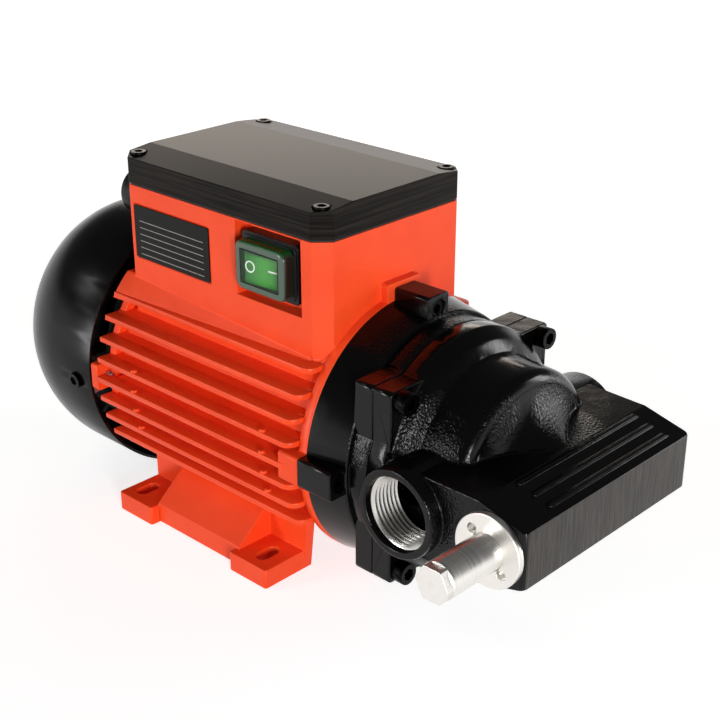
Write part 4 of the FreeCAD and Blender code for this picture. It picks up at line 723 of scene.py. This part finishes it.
# %% Shape the boot
boot_low, boot_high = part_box("switch_boot")
boot_centre = (boot_low + boot_high) / 2
BOOT_SINK = 0.8 * MM
BOOT_SPREAD_X = 1.5 * MM
BOOT_SPREAD_Z = 0.5 * MM
BOOT_CORNER = 4.0 * MM
BOOT_LIP = 1.6 * MM
WINDOW_INSET = 3.4 * MM
GROOVE_DEPTH = 0.5 * MM
GROOVE_WALL = 0.2 * MM
GROOVE_FLOOR = 0.25 * MM
WINDOW_SLOT = 1
GROOVE_SLOT = 2


def upright_plate(mesh, centre, half_x, half_z, y, corner):
    """A rectangle that faces -Y, with round corners."""
    place = Matrix.Translation((centre.x, y, centre.z)) @ Matrix.Rotation(math.pi / 2, 4, "X")
    bmesh.ops.create_grid(mesh, x_segments=1, y_segments=1, size=1.0)
    bmesh.ops.scale(mesh, vec=(half_x, half_z, 1), verts=mesh.verts[:])
    bmesh.ops.transform(mesh, matrix=place, verts=mesh.verts[:])
    bmesh.ops.bevel(mesh, geom=mesh.verts[:], offset=corner, affect="VERTICES", segments=6,
                    profile=0.5, material=-1)
    mesh.faces.ensure_lookup_table()
    return mesh.faces[0]


def boot_shell():
    mesh = bmesh.new()
    half = (boot_high - boot_low) / 2 + Vector((BOOT_SPREAD_X, 0, BOOT_SPREAD_Z))
    face = upright_plate(mesh, boot_centre, half.x, half.z, boot_high.y, BOOT_CORNER)
    grown = bmesh.ops.extrude_face_region(mesh, geom=[face])
    front = [g for g in grown["geom"] if isinstance(g, bmesh.types.BMFace)][0]
    depth = boot_high.y - boot_low.y - BOOT_SINK
    bmesh.ops.translate(mesh, verts=front.verts[:], vec=(0, -depth, 0))
    bmesh.ops.bevel(mesh, geom=front.edges[:], offset=BOOT_LIP, affect="EDGES", segments=5,
                    profile=0.5, material=-1)
    front = min(mesh.faces, key=lambda f: f.calc_center_median().y)
    bmesh.ops.inset_region(mesh, faces=[front], thickness=WINDOW_INSET - BOOT_LIP)
    for inset, sink in ((GROOVE_WALL, GROOVE_DEPTH), (GROOVE_FLOOR, 0), (GROOVE_WALL, -GROOVE_DEPTH)):
        groove = bmesh.ops.inset_region(mesh, faces=[front], thickness=inset)["faces"]
        bmesh.ops.translate(mesh, verts=front.verts[:], vec=(0, sink, 0))
        for face in groove:
            face.material_index = GROOVE_SLOT
    front.material_index = WINDOW_SLOT
    return mesh


boot = finish_piece("boot_shell", boot_shell(), "boot_clear", "pump", 50)
boot.data.materials.append(finish["boot_window"])
boot.data.materials.append(finish["seal_rubber"])
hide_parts("switch_boot")

# %% [markdown]
# ## Marks on the rocker
# A ring for off and a dash for on, raised a hair above the green face. They could be painted in the
# material, but a raised mark has a crisp edge that catches a little light. They tilt with the rocker, so
# both ride on its body.

# %% Make the marks
rocker_joint = next(j for j in frame["joints"] if j["name"] == "rocker_tilt")
PIVOT = Vector(rocker_joint["pos_m"])
FACE_REACH = 6.9 * MM
REST_TILT = math.radians(7)
MARK_HEIGHT = 0.25 * MM
RING_OUTER = 2.75 * MM
RING_INNER = 2.1 * MM
RING_PLACE = -7.9 * MM
DASH_LENGTH = 5.4 * MM
DASH_WIDTH = 0.75 * MM
DASH_EDGE = 0.08 * MM
DASH_PLACE = 5.2 * MM


def rocker_place(along, out=0.0):
    """Turns a mesh in the XY plane to lie on the rocker's face, at a place along it."""
    face = Matrix.Rotation(math.pi / 2, 4, "X")
    shift = Matrix.Translation((along, -FACE_REACH - out, 0))
    return Matrix.Translation(PIVOT) @ Matrix.Rotation(REST_TILT, 4, "Z") @ shift @ face


def ring_mark():
    mesh = bmesh.new()
    bmesh.ops.create_circle(mesh, segments=48, radius=RING_OUTER)
    bmesh.ops.create_circle(mesh, segments=48, radius=RING_INNER)
    bmesh.ops.bridge_loops(mesh, edges=mesh.edges[:])
    grown = bmesh.ops.extrude_face_region(mesh, geom=mesh.faces[:])
    raised = [g for g in grown["geom"] if isinstance(g, bmesh.types.BMVert)]
    bmesh.ops.translate(mesh, verts=raised, vec=(0, 0, MARK_HEIGHT))
    bmesh.ops.transform(mesh, matrix=rocker_place(RING_PLACE), verts=mesh.verts[:])
    return mesh


def dash_mark():
    mesh = bmesh.new()
    bmesh.ops.create_cube(mesh, size=1.0)
    bmesh.ops.scale(mesh, vec=(DASH_LENGTH, DASH_WIDTH, MARK_HEIGHT), verts=mesh.verts[:])
    bmesh.ops.bevel(mesh, geom=mesh.edges[:], offset=DASH_EDGE, affect="EDGES", segments=2,
                    profile=0.5, material=-1)
    place = rocker_place(DASH_PLACE, MARK_HEIGHT / 2)
    bmesh.ops.transform(mesh, matrix=place, verts=mesh.verts[:])
    return mesh


finish_piece("off_mark", ring_mark(), "mark_white", "rocker", 40)
finish_piece("on_mark", dash_mark(), "mark_white", "rocker", 40)

# %% [markdown]
# ## The floor
# A wide pale floor, a hair below the feet. A floor that is white to the camera is usually made with more
# light, which bleaches the object too. Here the floor adds a glow that only the camera, mirrors and clear
# plastic see. It is weaker near the pump, so the pump's shadow stays.

# %% Floor
FLOOR_SIZE = 30.0
FLOOR_DROP = 0.2 * MM
NEAR_GLOW = 0.72
FAR_GLOW = 1.0
GLOW_RISES_FROM = 0.3
GLOW_RISES_TO = 1.6
mesh = bmesh.new()
bmesh.ops.create_grid(mesh, x_segments=1, y_segments=1, size=FLOOR_SIZE)
floor_data = bpy.data.meshes.new("floor")
mesh.to_mesh(floor_data)
mesh.free()
floor = bpy.data.objects.new("floor", floor_data)
bpy.context.scene.collection.objects.link(floor)
floor.location.z = -FLOOR_DROP
material, tree, shader = surface("pale_floor", "#DADADA", 0.7, IOR=1.45)
rays = add(tree, "LightPath")
seen = add(tree, "Math", {0: rays.outputs["Is Camera Ray"], 1: rays.outputs["Is Glossy Ray"]},
           operation="ADD").outputs[0]
seen = add(tree, "Math", {0: seen, 1: rays.outputs["Is Transmission Ray"]}, operation="ADD",
           use_clamp=True).outputs[0]
away = add(tree, "VectorMath", {0: point(tree)}, operation="LENGTH").outputs["Value"]
glow = span(tree, away, GLOW_RISES_FROM, GLOW_RISES_TO, NEAR_GLOW, FAR_GLOW)
lift = add(tree, "Math", {0: seen, 1: glow}, operation="MULTIPLY").outputs[0]
shader.inputs["Emission Color"].default_value = (1, 1, 1, 1)
tree.links.new(lift, shader.inputs["Emission Strength"])
floor_data.materials.append(material)
print("floor ready")

# %% [markdown]
# ## The light
# A white studio. The sky is white near the horizon and dim above, so that sides mirror white and tops stay
# dark, and large soft lamps stand round the pump. The black enamel mirrors them, so their places set its
# highlights. The lamp behind is slightly warm, and the lid mirrors it. Many bright lamps would light the
# pump too, but they would wash out its blacks.

# %% World and lamps
HORIZON_TO = 0.12
DIM_FROM = 0.26
DIM_SKY = 0.1
PUMP_MIDDLE = (0, 0, 0.08)
BOX_MIDDLE = (-0.05, 0, 0.14)

world = bpy.data.worlds.new("studio")
bpy.context.scene.world = world
world.use_nodes = True
sky = world.node_tree
aim = add(sky, "SeparateXYZ", {0: add(sky, "TexCoord").outputs["Generated"]}).outputs[2]
glow = span(sky, aim, HORIZON_TO, DIM_FROM, 1.0, DIM_SKY)
sky.links.new(glow, sky.nodes["Background"].inputs["Strength"])
sky.nodes["Background"].inputs["Color"].default_value = (1, 1, 1, 1)


def softbox(name, place, target, width, height, watts, tone="#FFFFFF"):
    """A lamp with a wide face, at a place in metres, that looks at a target."""
    data = bpy.data.lights.new(name, "AREA")
    data.shape = "RECTANGLE"
    data.size = width
    data.size_y = height
    data.energy = watts
    data.color = linear(tone)[:3]
    lamp = bpy.data.objects.new(name, data)
    lamp.location = place
    lamp.rotation_euler = (Vector(target) - Vector(place)).to_track_quat("-Z", "Y").to_euler()
    bpy.context.scene.collection.objects.link(lamp)


softbox("key_right", (1.35, -0.85, 0.3), PUMP_MIDDLE, width=0.22, height=0.6, watts=18)
softbox("front_left", (-0.75, -1.4, 0.26), PUMP_MIDDLE, width=0.25, height=0.7, watts=9)
softbox("behind", (-1.12, 1.08, 0.57), BOX_MIDDLE, width=1.0, height=0.3, watts=3.5, tone="#FFF1E4")
softbox("left_high", (-1.1, -1.0, 1.0), PUMP_MIDDLE, width=0.12, height=0.45, watts=1.5)
softbox("back_fill", (0.9, 1.35, 0.35), PUMP_MIDDLE, width=0.4, height=0.8, watts=9)
print("lamps placed")

# %% [markdown]
# The Standard view shows a colour about as it is written.

bpy.context.scene.view_settings.view_transform = "Standard"
